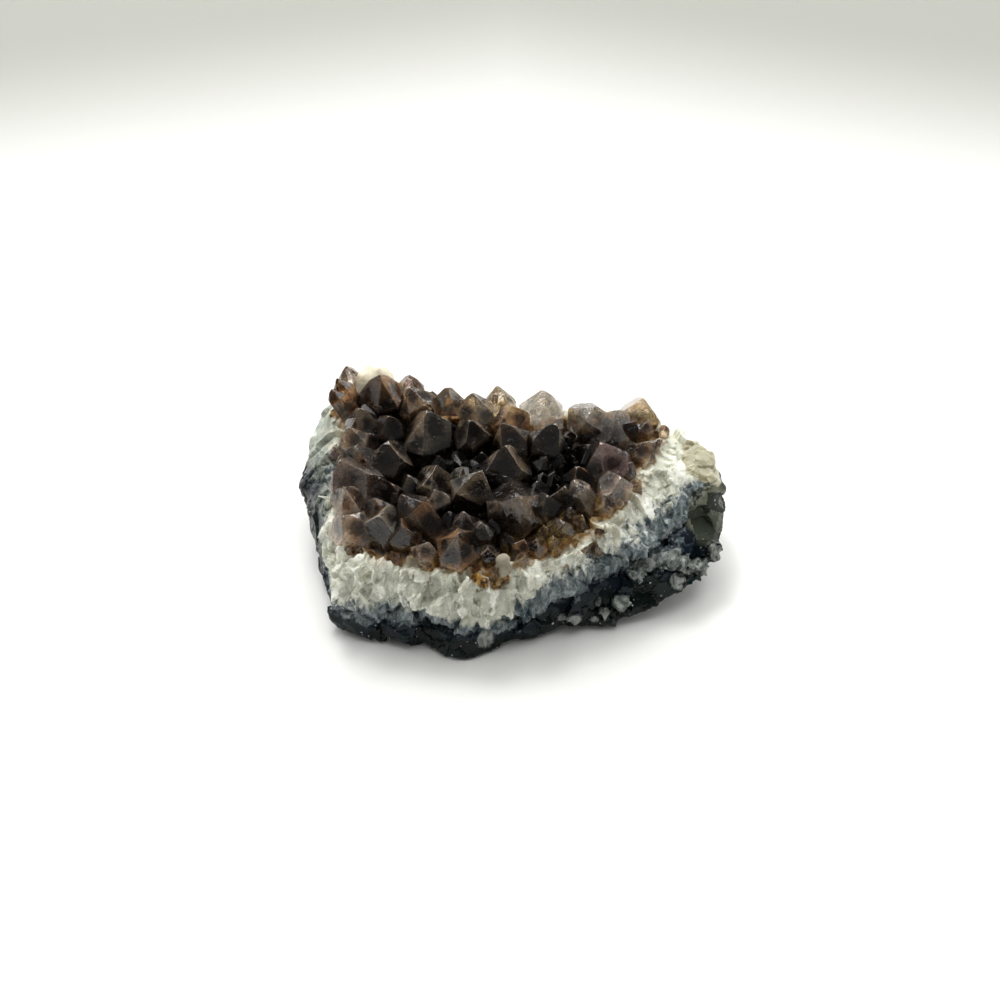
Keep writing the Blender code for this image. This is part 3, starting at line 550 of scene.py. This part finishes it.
def make_band():
    mesh = fine_mesh("milky_quartz_band", "milky_band", BAND_VOXEL, BAND_LUMPS)
    points, normals = mesh_points(mesh), mesh_normals(mesh)
    columns = points * BAND_COLUMNS
    big, number = facets(columns, *BAND_BIG_FACETS)
    small, fine_number = facets(columns, *BAND_SMALL_FACETS)
    calm = calm_zone(points)
    small = small * (1 - CALM_SMALL_FACETS * calm)
    big = big * (1 - CALM_BIG_FACETS * calm)
    sugar = layered_noise(points, *BAND_SUGAR, layers=2) * SUGAR_HEIGHT
    on_nub = near_lump(points, BAND_LUMPS, 1.2)
    lumpy = layered_noise(points, *NUB_LUMPS, layers=2) * NUB_HEIGHT * on_nub
    push = (big + small) * (1 - on_nub) + lumpy + sugar + SEAM_CLOSE
    moved = points + normals * push[:, None]
    layer_values(mesh, points, 0.6 * fine_number + 0.4 * number)
    set_points(mesh, moved)
    return link_object("milky_band", mesh)


def trim(bm, point, outward):
    """Cuts away what lies beyond a plane and closes the cut with a flat face."""
    bmesh.ops.bisect_plane(
        bm, geom=[*bm.verts, *bm.edges, *bm.faces], plane_co=point, plane_no=outward,
        clear_outer=True,
    )
    bmesh.ops.holes_fill(bm, edges=bm.edges)


def crystal_mesh(crystal, rng):
    """One quartz crystal as a bevelled closed mesh, and its planes in plan millimetres."""
    x, y, z, right, back, radius, turn = crystal
    radius *= SWELL
    tip = Vector((x, y, z))
    axis = Vector((math.tan(math.radians(right)), math.tan(math.radians(back)), 1.0))
    axis.normalize()
    length = (tip.z - float(bed_height(x, y)) + ROOT_LENGTH) / axis.z
    facing = axis.to_track_quat("Z", "Y").to_matrix()
    bm = bmesh.new()
    bmesh.ops.create_cube(bm, size=1.0)
    bmesh.ops.scale(bm, vec=(4 * radius, 4 * radius, length), verts=bm.verts)
    bmesh.ops.translate(bm, vec=(0, 0, -length / 2), verts=bm.verts)
    apothem = radius * math.cos(math.pi / 6)
    planes = []
    small_faces = BACK_ROW_TIPS if y > BACK_ROW else rng.uniform(*OTHER_TIPS)
    for k in range(6):
        angle = math.radians(turn) + k * math.pi / 3
        side = Vector((math.cos(angle), math.sin(angle), 0.0))
        reach = apothem * rng.uniform(*SIDE_FACE_REACH)
        scatter = rng.uniform(-TIP_SLOPE_SCATTER, TIP_SLOPE_SCATTER)
        slope = TIP_FACE_SLOPE + math.radians(scatter)
        face = side * math.sin(slope) + Vector((0, 0, math.cos(slope)))
        back_off = rng.uniform(*(LARGE_TIP_FACE if k % 2 == 0 else (SMALL_TIP_FACE, small_faces)))
        for outward, distance in ((side, reach), (face, back_off * apothem)):
            trim(bm, outward * distance, outward)
            world = facing @ outward
            planes.append((*world, world.dot(tip) + distance))
    bevel = min(EDGE_BEVEL, BEVEL_SHARE * radius)
    bmesh.ops.bevel(bm, geom=bm.edges[:], offset=bevel, segments=1, affect="EDGES")
    bmesh.ops.transform(bm, matrix=Matrix.Translation(tip) @ facing.to_4x4(), verts=bm.verts)
    bmesh.ops.translate(bm, vec=PLAN_SHIFT, verts=bm.verts)
    bmesh.ops.scale(bm, vec=(MM, MM, MM), verts=bm.verts)
    bmesh.ops.recalc_face_normals(bm, faces=bm.faces)
    if bm.calc_volume(signed=True) < 0:
        bmesh.ops.reverse_faces(bm, faces=bm.faces)
    return bm, planes, axis


def grow_between(taken, count, radii, share, spread, seed, overlap, rise):
    """Crystals in the room that the taken ones leave."""
    rng = random.Random(seed)
    grown = []
    while len(grown) < count:
        x, y = (rng.uniform(*side) for side in GROWN_AREA)
        radius = rng.uniform(*radii)
        rim_radius, _, own = ring_at(RIM_RING, np.array([[x, y]]))
        if own[0] > share * rim_radius[0]:
            continue
        if any(math.hypot(x - a, y - b) < overlap * (radius + c) for a, b, c in taken):
            continue
        taken.append((x, y, radius))
        right = GROWN_LEAN * (x - PLAN_CENTRE[0]) + rng.uniform(-spread, spread)
        back = GROWN_LEAN * (y - PLAN_CENTRE[1]) + rng.uniform(-spread, spread)
        tip_z = float(bed_height(x, y)) + rise + GROWN_SLENDERNESS * radius
        grown.append((x, y, tip_z, right, back, radius, rng.uniform(0, 60)))
    return grown


def rim_nearness(x, y):
    """0 in the middle of the crystals, 1 at the rim."""
    rim_radius, _, own = ring_at(RIM_RING, np.array([[x, y]]))
    return float(smoothstep(*RIM_NEARNESS, own[0] / rim_radius[0]))


def crust_mesh():
    """The sheet of roots under the crystals, as a loft of four rings."""
    angles = np.linspace(0, math.tau, CRUST_STATIONS, endpoint=False)
    unit = np.column_stack([np.cos(angles), np.sin(angles)])
    radius, height, _ = ring_at(RIM_RING, PLAN_CENTRE + unit)
    rings = []
    for share, lift in CRUST_RINGS:
        xy = PLAN_CENTRE + unit * (radius * share)[:, None]
        z = height if share == CRUST_SHARE else bed_height(xy[:, 0], xy[:, 1])
        ring = np.column_stack([xy, z + lift])
        rings.append(ring)
    bm = bmesh.new()
    rows = [[bm.verts.new(Vector(p + PLAN_SHIFT) * MM) for p in ring] for ring in rings]
    for lower, upper in zip(rows, rows[1:]):
        for i in range(CRUST_STATIONS):
            j = (i + 1) % CRUST_STATIONS
            bm.faces.new((lower[i], lower[j], upper[j], upper[i]))
    bm.faces.new(rows[-1])
    bm.faces.new(list(reversed(rows[0])))
    bmesh.ops.triangulate(bm, faces=bm.faces)
    bmesh.ops.recalc_face_normals(bm, faces=bm.faces)
    mesh = bpy.data.meshes.new("crystal_crust")
    bm.to_mesh(mesh)
    bm.free()
    return mesh


def drop_loose_crumbs(mesh):
    """Keeps the one large closed surface and drops slivers that the join left loose."""
    bm = bmesh.new()
    bm.from_mesh(mesh)
    unseen = set(bm.verts)
    shells = []
    while unseen:
        shell = [unseen.pop()]
        for vert in shell:
            for edge in vert.link_edges:
                neighbour = edge.other_vert(vert)
                if neighbour in unseen:
                    unseen.remove(neighbour)
                    shell.append(neighbour)
        shells.append(shell)
    largest = max(shells, key=len)
    crumbs = [vert for shell in shells if shell is not largest for vert in shell]
    bmesh.ops.delete(bm, geom=crumbs, context="VERTS")
    bm.to_mesh(mesh)
    bm.free()


def make_crystals():
    """All crystals and their crust joined in one clear solid."""
    named = [(crystal[:7], LOOK_NUMBER[crystal[7]]) for crystal in CRYSTALS.values()]
    taken = [(c[0], c[1], c[5]) for c, _ in named]
    grown = grow_between(taken, **FILLERS) + grow_between(taken, **SMALL_ONES)
    looks = random.Random(LOOK_SEED)
    # Grown crystals get darker looks in the middle and lighter ones at the rim: painted shade and
    # painted light
    crystals = named + [
        (crystal, rim_nearness(crystal[0], crystal[1]) * looks.uniform(*GROWN_LOOK))
        for crystal in grown
    ]
    pieces = bpy.data.collections.new("crystals_to_join")
    bpy.context.scene.collection.children.link(pieces)
    rng = random.Random(SHAPE_SEED)
    planes, axes = [], []
    for i, (crystal, _) in enumerate(crystals):
        bm, crystal_planes, axis = crystal_mesh(crystal, rng)
        mesh = bpy.data.meshes.new(f"crystal_{i}")
        bm.to_mesh(mesh)
        bm.free()
        pieces.objects.link(bpy.data.objects.new(f"crystal_{i}", mesh))
        planes.append(crystal_planes)
        axes.append(axis)
    work = link_object("crystal_work", crust_mesh())
    union = work.modifiers.new("grown_together", "BOOLEAN")
    union.operation = "UNION"
    union.operand_type = "COLLECTION"
    union.collection = pieces
    union.solver = "MANIFOLD"
    mesh = evaluated_mesh(work)
    mesh.name = "smoky_crystals"
    for obj in [*pieces.objects, work]:
        bpy.data.objects.remove(obj)
    bpy.data.collections.remove(pieces)
    mesh.materials.clear()
    drop_loose_crumbs(mesh)
    crystal_values(mesh, crystals, planes, axes)
    return link_object("smoky_crystals", mesh)


def crystal_values(mesh, crystals, planes, axes):
    """For each face: which crystal it belongs to, that crystal's look, axis and face kind."""
    count = len(mesh.polygons)
    centres = np.empty(count * 3, np.float32)
    mesh.polygons.foreach_get("center", centres)
    centres = centres.reshape(-1, 3).astype(np.float64) / MM - PLAN_SHIFT
    normals = np.empty(count * 3, np.float32)
    mesh.polygons.foreach_get("normal", normals)
    normals = normals.reshape(-1, 3)
    nearest = np.full(count, np.inf)
    owner = np.zeros(count, int)
    facet = np.zeros(count, int)
    for i, crystal_planes in enumerate(planes):
        table = np.array(crystal_planes)
        beyond = centres @ table[:, :3].T - table[:, 3]
        outside = np.abs(beyond.max(axis=1))
        closer = outside < nearest
        nearest[closer] = outside[closer]
        owner[closer] = i
        facet[closer] = beyond.argmax(axis=1)[closer]
    areas = np.empty(count, np.float32)
    mesh.polygons.foreach_get("area", areas)
    _, group = np.unique(owner * 100 + facet, return_inverse=True)
    total = np.bincount(group, weights=areas)
    middle = np.column_stack([np.bincount(group, weights=areas * c) for c in centres.T])
    middle = (middle / total[:, None] + PLAN_SHIFT)[group] * MM
    add_values(mesh, "facet_size", np.sqrt(total / math.pi)[group], "FACE")
    layer = mesh.attributes.new("facet_middle", "FLOAT_VECTOR", "FACE")
    layer.data.foreach_set("vector", middle.astype(np.float32).ravel())
    axis = np.array([tuple(a) for a in axes])[owner]
    look = np.array([look for _, look in crystals])[owner]
    add_values(mesh, "look", look, "FACE")
    cell = np.column_stack([owner, facet, facet])
    add_values(mesh, "facet", hash_unit(cell, FACET_SEED), "FACE")
    add_values(mesh, "prism", np.abs(np.sum(axis * normals, axis=1)) < SIDE_FACE_LIMIT, "FACE")
    layer = mesh.attributes.new("axis", "FLOAT_VECTOR", "FACE")
    layer.data.foreach_set("vector", axis.astype(np.float32).ravel())
    points = mesh_points(mesh)
    rim_radius, _, own = ring_at(RIM_RING, points)
    above_bed = points[:, 2] - bed_height(points[:, 0], points[:, 1])
    add_values(mesh, "above_bed", above_bed)
    add_values(mesh, "stained", near_lump(points, STAINS, 1.1))
    add_values(mesh, "edge", smoothstep(*RIM_ZONE, own - rim_radius))


def make_calcite():
    mesh = fine_mesh("calcite_lump", "calcite", CALCITE_VOXEL)
    points, normals = mesh_points(mesh), mesh_normals(mesh)
    lumps = layered_noise(points, *CALCITE_LUMPS) * CALCITE_LUMP_HEIGHT
    push = lumps + layered_noise(points, *CALCITE_GRAIN) * CALCITE_GRAIN_HEIGHT
    set_points(mesh, points + normals * push[:, None])
    for polygon in mesh.polygons:
        polygon.use_smooth = True
    return link_object("calcite", mesh)


def colour(name):
    return (*PALETTE[name], 1.0)


class Nodes:
    """A node tree with short ways to add nodes."""

    def __init__(self, tree):
        self.tree = tree

    def node(self, kind, values=None, **settings):
        new = self.tree.nodes.new(kind)
        for key, value in settings.items():
            setattr(new, key, value)
        for key, value in (values or {}).items():
            self.put(new.inputs[key], value)
        return new

    def put(self, socket, value):
        if isinstance(value, bpy.types.NodeSocket):
            self.tree.links.new(value, socket)
        else:
            socket.default_value = value

    def attribute(self, name, output="Fac"):
        return self.node("ShaderNodeAttribute", attribute_name=name).outputs[output]

    def position(self):
        return self.node("ShaderNodeTexCoord").outputs["Object"]

    def noise(self, size_mm, detail=4.0, roughness=0.55, distortion=0.0, vector=None):
        """Noise from 0 to 1 with lumps of about this many millimetres."""
        values = {
            "Vector": vector or self.position(), "Scale": 1.0 / (size_mm * MM),
            "Detail": detail, "Roughness": roughness, "Distortion": distortion,
        }
        return self.node("ShaderNodeTexNoise", values).outputs["Fac"]

    def voronoi(self, size_mm):
        values = {"Vector": self.position(), "Scale": 1.0 / (size_mm * MM)}
        return self.node("ShaderNodeTexVoronoi", values).outputs["Distance"]

    def math(self, operation, a, b=0.0):
        new = self.node("ShaderNodeMath", operation=operation)
        self.put(new.inputs[0], a)
        self.put(new.inputs[1], b)
        return new.outputs[0]

    def span(self, value, low, high, to_low=0.0, to_high=1.0):
        values = {"Value": value, "From Min": low, "From Max": high,
                  "To Min": to_low, "To Max": to_high}
        new = self.node("ShaderNodeMapRange", values, interpolation_type="SMOOTHSTEP")
        return new.outputs["Result"]

    def mix(self, share, a, b):
        new = self.node("ShaderNodeMix", data_type="RGBA")
        self.put(new.inputs["Factor"], share)
        self.put(new.inputs[6], a)
        self.put(new.inputs[7], b)
        return new.outputs[2]

    def scaled(self, shade, factor):
        new = self.node("ShaderNodeVectorMath", operation="SCALE")
        self.put(new.inputs[0], shade)
        self.put(new.inputs["Scale"], factor)
        return new.outputs["Vector"]

    def stretched(self, z_share):
        """The position with its height squeezed, so that a pattern read there stands tall."""
        new = self.node("ShaderNodeVectorMath", operation="MULTIPLY")
        self.put(new.inputs[0], self.position())
        self.put(new.inputs[1], (1.0, 1.0, z_share))
        return new.outputs["Vector"]

    def bump(self, height, distance_mm, strength=1.0, normal=None):
        values = {"Height": height, "Distance": distance_mm * MM, "Strength": strength}
        new = self.node("ShaderNodeBump", values)
        if normal:
            self.put(new.inputs["Normal"], normal)
        return new.outputs["Normal"]


class Shader(Nodes):
    """A material's node tree."""

    def __init__(self, name):
        self.material = bpy.data.materials.new(name)
        self.material.use_nodes = True
        super().__init__(self.material.node_tree)
        self.principled = self.tree.nodes["Principled BSDF"]
        self.output = self.tree.nodes["Material Output"]

    def set(self, **values):
        for key, value in values.items():
            self.put(self.principled.inputs[key.replace("_", " ")], value)


def rind_shade(s, level):
    """Green-black, blue-black towards the band, and olive at the right end."""
    shade = s.mix(s.span(s.noise(4.5), 0.42, 0.66), colour("rind_black"), colour("rind_green"))
    shade = s.mix(s.span(level, -0.8, 0.0), shade, colour("rind_blue"))
    grain = s.span(s.attribute("grain"), 0.3, 0.7)
    olive = s.mix(grain, colour("olive_dark"), colour("olive_pale"))
    return s.mix(s.attribute("olive"), shade, olive)


def blue_shade(s, streak):
    """Blue-grey between the rind and the cream quartz, olive-grey on the left side's shell."""
    blue = s.mix(s.span(streak, 0.34, 0.7), colour("blue_dark"), colour("blue_pale"))
    shell = s.mix(s.span(streak, 0.36, 0.72), colour("shell_dark"), colour("shell_pale"))
    return s.mix(s.attribute("shell"), blue, shell)


def cream_shade(s, streak):
    """Milky quartz: streaked, darker where it is clear, almost plain at the right end, and
    flecked with painted glints.
    """
    grain = s.attribute("grain")
    patch = s.noise(5.0, 4.0, 0.6)
    sugar = s.noise(0.5, 3.0, 0.6)
    milk = s.math("ADD", s.math("MULTIPLY", grain, 0.5), s.noise(2.6))
    shade = s.mix(s.span(milk, 0.55, 1.0), colour("cream_dark"), colour("cream_pale"))
    left = s.math("SUBTRACT", 1.0, s.span(s.attribute("right"), 0.0, 1.0))
    streaked = s.math("MULTIPLY", s.span(streak, 0.62, 0.42), left)
    shade = s.mix(streaked, shade, s.scaled(shade, 0.76))
    clear = s.math("MULTIPLY", s.math("MULTIPLY", s.span(patch, 0.5, 0.62), 0.6), left)
    shade = s.mix(clear, shade, colour("cream_clear"))
    # Painted glints: white specks where grains would catch the light
    sparkle = s.span(s.math("ADD", grain, sugar), 1.1, 1.4)
    shade = s.mix(sparkle, shade, colour("cream_painted_glint"))
    shell = s.math("MULTIPLY", s.attribute("shell"), s.span(patch, 0.7, 0.44, 0.45, 1.0))
    return s.mix(s.math("MULTIPLY", shell, 0.9), shade, colour("shell_milk"))


def rust_share(s):
    """How much rust covers the band: faint all along the rim, and thick in the stains."""
    patches = s.span(s.noise(4.0, 5.0, 0.6), 0.45, 0.62)
    near_rim = s.span(s.attribute("from_rim"), 3.0, -0.4)
    high = s.span(s.attribute("rim_depth"), 5.0, 1.5)
    faint = s.math("MULTIPLY", s.math("MULTIPLY", patches, near_rim), high)
    thick = s.math("MULTIPLY", s.attribute("stained"), s.span(s.noise(1.9), 0.3, 0.44))
    return s.math("MAXIMUM", s.math("MULTIPLY", faint, 0.4), thick)


def wall_colours(s):
    """Colour of the layered wall, from the rind up to the crystals' roots with painted shade
    beneath them, and its layer.
    """
    tall = s.stretched(LAYER_STRETCH)
    ragged = s.math("SUBTRACT", s.noise(4.0, 6.0, 0.65, vector=tall), 0.5)
    level = s.math("ADD", s.attribute("level"), s.math("MULTIPLY", ragged, 2.2))
    streak = s.noise(1.7, 6.0, 0.64, distortion=0.8, vector=tall)
    cloudy = s.math("MULTIPLY", s.math("SUBTRACT", streak, 0.5), 2.0)
    shade = s.mix(s.span(level, -0.15, 0.15), rind_shade(s, level), blue_shade(s, streak))
    milky = s.span(s.math("ADD", level, cloudy), 0.6, 1.3)
    shade = s.mix(milky, shade, cream_shade(s, streak))
    chip = s.mix(s.attribute("grain"), colour("chip_dark"), colour("chip_pale"))
    shade = s.mix(s.attribute("chip"), shade, chip)
    dots = s.span(s.voronoi(1.5), 0.2, 0.1)
    flecks = s.math("MULTIPLY", dots, s.span(s.noise(4.0), 0.5, 0.62))
    shade = s.mix(flecks, shade, colour("fleck"))
    crust = s.mix(s.span(streak, 0.35, 0.65), colour("crust_dark"), colour("crust_pale"))
    shade = s.mix(s.attribute("pale"), shade, crust)
    rust = s.mix(s.span(s.noise(1.2), 0.4, 0.62), colour("rust_dark"), colour("rust_bright"))
    shade = s.mix(rust_share(s), shade, rust)
    under = s.attribute("under")
    amber = s.mix(s.noise(3.0), colour("bed_amber_dark"), colour("bed_amber_pale"))
    shade = s.mix(s.span(under, 0.0, 0.45), shade, amber)
    # Deeper under the crystals: painted shade, nearly black
    shade = s.mix(s.span(under, 0.35, 0.85), shade, colour("bed_painted_shade"))
    nub = s.mix(streak, colour("nub_dark"), colour("nub_pale"))
    return s.mix(s.attribute("nub"), shade, nub), level


def wall_material(name, finish):
    low_roughness, grit_height, gloss, softness = finish
    s = Shader(name)
    shade, level = wall_colours(s)
    rough = s.span(level, -0.2, 0.8, low_roughness, 0.5)
    grit = s.bump(s.noise(0.5, 4.0, 0.6), grit_height, 0.5)
    s.set(Base_Color=shade, Roughness=rough, Normal=grit)
    s.set(IOR=1.54, Specular_IOR_Level=gloss)
    s.set(Subsurface_Weight=softness, Subsurface_Scale=0.002)
    s.principled.inputs["Subsurface Radius"].default_value = (1.0, 0.95, 0.85)
    return s.material


def quartz_body(s, look, facet, bright):
    """Colour by the crystal's look, with painted reflection greying some of its faces and a
    painted highlight lightening others.
    """
    body = s.mix(s.span(look, 0.1, 0.33), colour("quartz_dark"), colour("quartz_brown"))
    body = s.mix(s.span(look, 0.4, 0.66), body, colour("quartz_lilac"))
    body = s.mix(s.span(look, 0.75, 1.0), body, colour("quartz_clear"))
    body = s.mix(bright, body, colour("quartz_bright"))
    # Painted reflection: some faces greyed as if mirroring the room
    grey = s.mix(0.5, body, colour("quartz_painted_sheen"))
    tint = s.mix(s.span(facet, 0.6, 0.62), body, grey)
    # Painted highlight: some other faces made much lighter
    return s.mix(s.span(facet, 0.84, 0.86), tint, s.scaled(body, 1.8))


def quartz_depth(s, tint, look, facet, bright):
    """Painted light at each face's edge and painted shade in its middle, faces painted nearly
    black as shade, and light veils.
    """
    clearness = s.span(look, 0.2, 0.9)
    from_middle = s.node("ShaderNodeVectorMath", operation="DISTANCE")
    s.put(from_middle.inputs[0], s.position())
    s.put(from_middle.inputs[1], s.attribute("facet_middle", "Vector"))
    away = s.math("DIVIDE", from_middle.outputs["Value"], s.attribute("facet_size"))
    wisps = s.math("SUBTRACT", s.noise(2.4, 5.0, 0.62, distortion=0.8), 0.5)
    away = s.math("ADD", away, s.math("MULTIPLY", wisps, 1.5))
    # Painted light: each face lighter towards its edge, as if lit through the crystal
    tint = s.mix(s.span(away, 0.75, 1.25), tint, s.scaled(tint, 1.5))
    # Painted shade: each face darker in its middle, standing for the dark inside seen through it
    painted_core_shade = s.math("MULTIPLY", s.span(away, 0.85, 0.35), s.span(clearness, 0.0, 1.0, 0.95, 0.8))
    painted_core_shade = s.math("MULTIPLY", painted_core_shade, s.math("SUBTRACT", 1.0, s.math("MULTIPLY", bright, 0.45)))
    tint = s.mix(painted_core_shade, tint, colour("painted_core_shade"))
    # Painted shade: a share of faces turned nearly black, fewer on clearer crystals
    painted_dark_share = s.math("SUBTRACT", 0.4, s.math("MULTIPLY", clearness, 0.18))
    painted_dark_share = s.math("SUBTRACT", painted_dark_share, s.math("MULTIPLY", bright, 0.14))
    darker = s.mix(0.82, tint, colour("painted_face_shade"))
    tint = s.mix(s.math("LESS_THAN", facet, painted_dark_share), tint, darker)
    veils = s.span(s.noise(1.1, 6.0, 0.7, distortion=1.5), 0.57, 0.64)
    return s.mix(s.math("MULTIPLY", veils, s.span(look, 0.1, 1.1)), tint, colour("veil"))


def quartz_roots(s, tint, bright):
    """Painted shade, nearly black, low down among the crystals of the middle, and rust low down
    at the rim.
    """
    above_bed = s.attribute("above_bed")
    edge = s.attribute("edge")
    lit = s.math("MULTIPLY", s.math("MAXIMUM", edge, bright), 0.9)
    # Painted shade low among the middle crystals, less at the rim and on bright ones
    shaded = s.math("MULTIPLY", s.span(above_bed, 8.0, 5.0), s.math("SUBTRACT", 1.0, lit))
    tint = s.mix(shaded, tint, colour("gap_painted_shade"))
    patches = s.span(s.noise(3.5, 4.0, 0.6), 0.4, 0.58)
    rusty = s.math("MULTIPLY", s.math("MULTIPLY", s.span(above_bed, 5.0, 1.5), patches), edge)
    rusty = s.math("MAXIMUM", rusty, s.attribute("stained"))
    rust = s.mix(s.span(s.noise(1.5), 0.42, 0.62), colour("stain_dark"), colour("stain_bright"))
    return s.mix(s.math("MULTIPLY", rusty, s.span(s.noise(1.9), 0.3, 0.5)), tint, rust)


def quartz_relief(s):
    """Fine lines across the side faces, a faint wave, and crackle in places."""
    along = s.node("ShaderNodeVectorMath", operation="DOT_PRODUCT")
    s.put(along.inputs[0], s.position())
    s.put(along.inputs[1], s.attribute("axis", "Vector"))
    lines = s.node("ShaderNodeCombineXYZ", {"Z": along.outputs["Value"]}).outputs[0]
    striation = s.math("MULTIPLY", s.noise(0.5, 2.0, vector=lines), s.attribute("prism"))
    surface = s.bump(striation, 0.1, 0.5)
    surface = s.bump(s.noise(2.2, 2.0), 0.05, 0.4, normal=surface)
    crackle = s.math("MULTIPLY", s.voronoi(0.9), s.span(s.noise(3.0), 0.54, 0.62))
    return s.bump(crackle, 0.2, 0.7, normal=surface)


def smoky_material():
    s = Shader("smoky_quartz")
    look = s.attribute("look")
    facet = s.attribute("facet")
    bright = s.span(look, 1.05, 1.25)
    tint = quartz_body(s, look, facet, bright)
    tint = quartz_depth(s, tint, look, facet, bright)
    tint = quartz_roots(s, tint, bright)
    rough = s.span(s.noise(1.6), 0.45, 0.7, 0.01, 0.06)
    s.set(Base_Color=tint, Roughness=rough, Normal=quartz_relief(s))
    s.set(IOR=QUARTZ_IOR, Transmission_Weight=QUARTZ_CLARITY, Specular_IOR_Level=0.3)
    absorb = s.node("ShaderNodeVolumeAbsorption")
    absorb.inputs["Color"].default_value = colour("absorption")
    absorb.inputs["Density"].default_value = QUARTZ_DENSITY
    s.put(s.output.inputs["Volume"], absorb.outputs["Volume"])
    return s.material


def calcite_material():
    s = Shader("cream_calcite")
    cloud = s.noise(2.5, 5.0, 0.6)
    shade = s.mix(s.span(cloud, 0.3, 0.7), colour("calcite_pale"), colour("calcite_dark"))
    grain = s.bump(s.noise(0.4, 3.0), 0.08, 0.4)
    s.set(Base_Color=shade, Roughness=s.span(cloud, 0.3, 0.7, 0.35, 0.5), Normal=grain)
    s.set(IOR=1.6, Subsurface_Weight=0.4, Subsurface_Scale=0.002)
    s.principled.inputs["Subsurface Radius"].default_value = (1.0, 0.8, 0.55)
    return s.material


def floor_material():
    """White card with painted shade that dims it a little far behind the object."""
    s = Shader("floor_card")
    where = s.node("ShaderNodeSeparateXYZ", {"Vector": s.position()})
    aside = s.math("MULTIPLY", s.math("ABSOLUTE", where.outputs["X"]), FLOOR_FADE_ASIDE)
    far = s.span(s.math("ADD", where.outputs["Y"], aside), *FLOOR_FADE)
    shade = s.mix(far, colour("floor_white"), colour("floor_painted_shade"))
    s.set(Base_Color=shade, Roughness=0.9)
    return s.material


def add_floor():
    bm = bmesh.new()
    bmesh.ops.create_grid(bm, x_segments=1, y_segments=1, size=FLOOR_HALF_SIZE)
    mesh = bpy.data.meshes.new("floor_card")
    bm.to_mesh(mesh)
    bm.free()
    mesh.materials.append(floor_material())
    floor = link_object("floor_card", mesh)


def add_sky():
    """Dark in front, bright behind and above, broken in soft panels that the faces mirror."""
    world = bpy.data.worlds.new("studio")
    world.use_nodes = True
    s = Nodes(world.node_tree)
    direction = s.node("ShaderNodeTexCoord").outputs["Generated"]
    split = s.node("ShaderNodeSeparateXYZ", {"Vector": direction})
    overhead = s.math("MULTIPLY", split.outputs["Z"], SKY_HEIGHT_SHARE)
    overhead = s.math("ADD", overhead, split.outputs["Y"])
    noise_values = {"Vector": direction, "Scale": PANEL_SCALE, "Detail": 0.0}
    panels = s.node("ShaderNodeTexNoise", noise_values).outputs["Fac"]
    panels = s.span(panels, *PANEL_EDGE, *PANEL_STRENGTH)
    background = s.tree.nodes["Background"]
    strength = s.math("MULTIPLY", s.span(overhead, 0.0, 1.0, *SKY_STRENGTH), panels)
    s.put(background.inputs["Strength"], strength)
    background.inputs["Color"].default_value = SKY_COLOUR
    bpy.context.scene.world = world


def add_lamp():
    light = bpy.data.lights.new("softbox", "AREA")
    light.shape = "RECTANGLE"
    light.size, light.size_y = LAMP_SIZE
    light.energy = LAMP_WATTS
    lamp = bpy.data.objects.new("softbox", light)
    lamp.location = LAMP_PLACE
    aim = Vector(LAMP_AIM) - lamp.location
    lamp.rotation_euler = aim.to_track_quat("-Z", "Y").to_euler()
    bpy.context.scene.collection.objects.link(lamp)


def add_camera():
    data = bpy.data.cameras.new("camera")
    data.sensor_width = 36.0
    data.lens = LENS_MM
    data.clip_start = 0.01
    camera = bpy.data.objects.new("camera", data)
    target = Vector((VIEW_TARGET + PLAN_SHIFT) * MM)
    forward = Vector((0.0, math.cos(VIEW_ELEVATION), -math.sin(VIEW_ELEVATION)))
    camera.location = target - forward * VIEW_DISTANCE
    camera.rotation_euler = (math.pi / 2 - VIEW_ELEVATION, 0.0, 0.0)
    bpy.context.scene.collection.objects.link(camera)
    bpy.context.scene.camera = camera


def place(piece, node, material):
    piece.data.materials.clear()
    piece.data.materials.append(material)
    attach(piece, "root")
    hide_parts(node)


def main():
    rind_look = wall_material("dark_chalcedony", RIND_FINISH)
    band_look = wall_material("milky_quartz", BAND_FINISH)
    place(make_rind(), "chalcedony_rind", rind_look)
    place(make_band(), "milky_quartz_band", band_look)
    place(make_crystals(), "smoky_quartz_crystals", smoky_material())
    place(make_calcite(), "calcite_lump", calcite_material())
    add_floor()
    add_sky()
    add_lamp()
    add_camera()
    bpy.context.scene.view_settings.view_transform = "Standard"
    bpy.context.scene.view_settings.exposure = EXPOSURE


main()
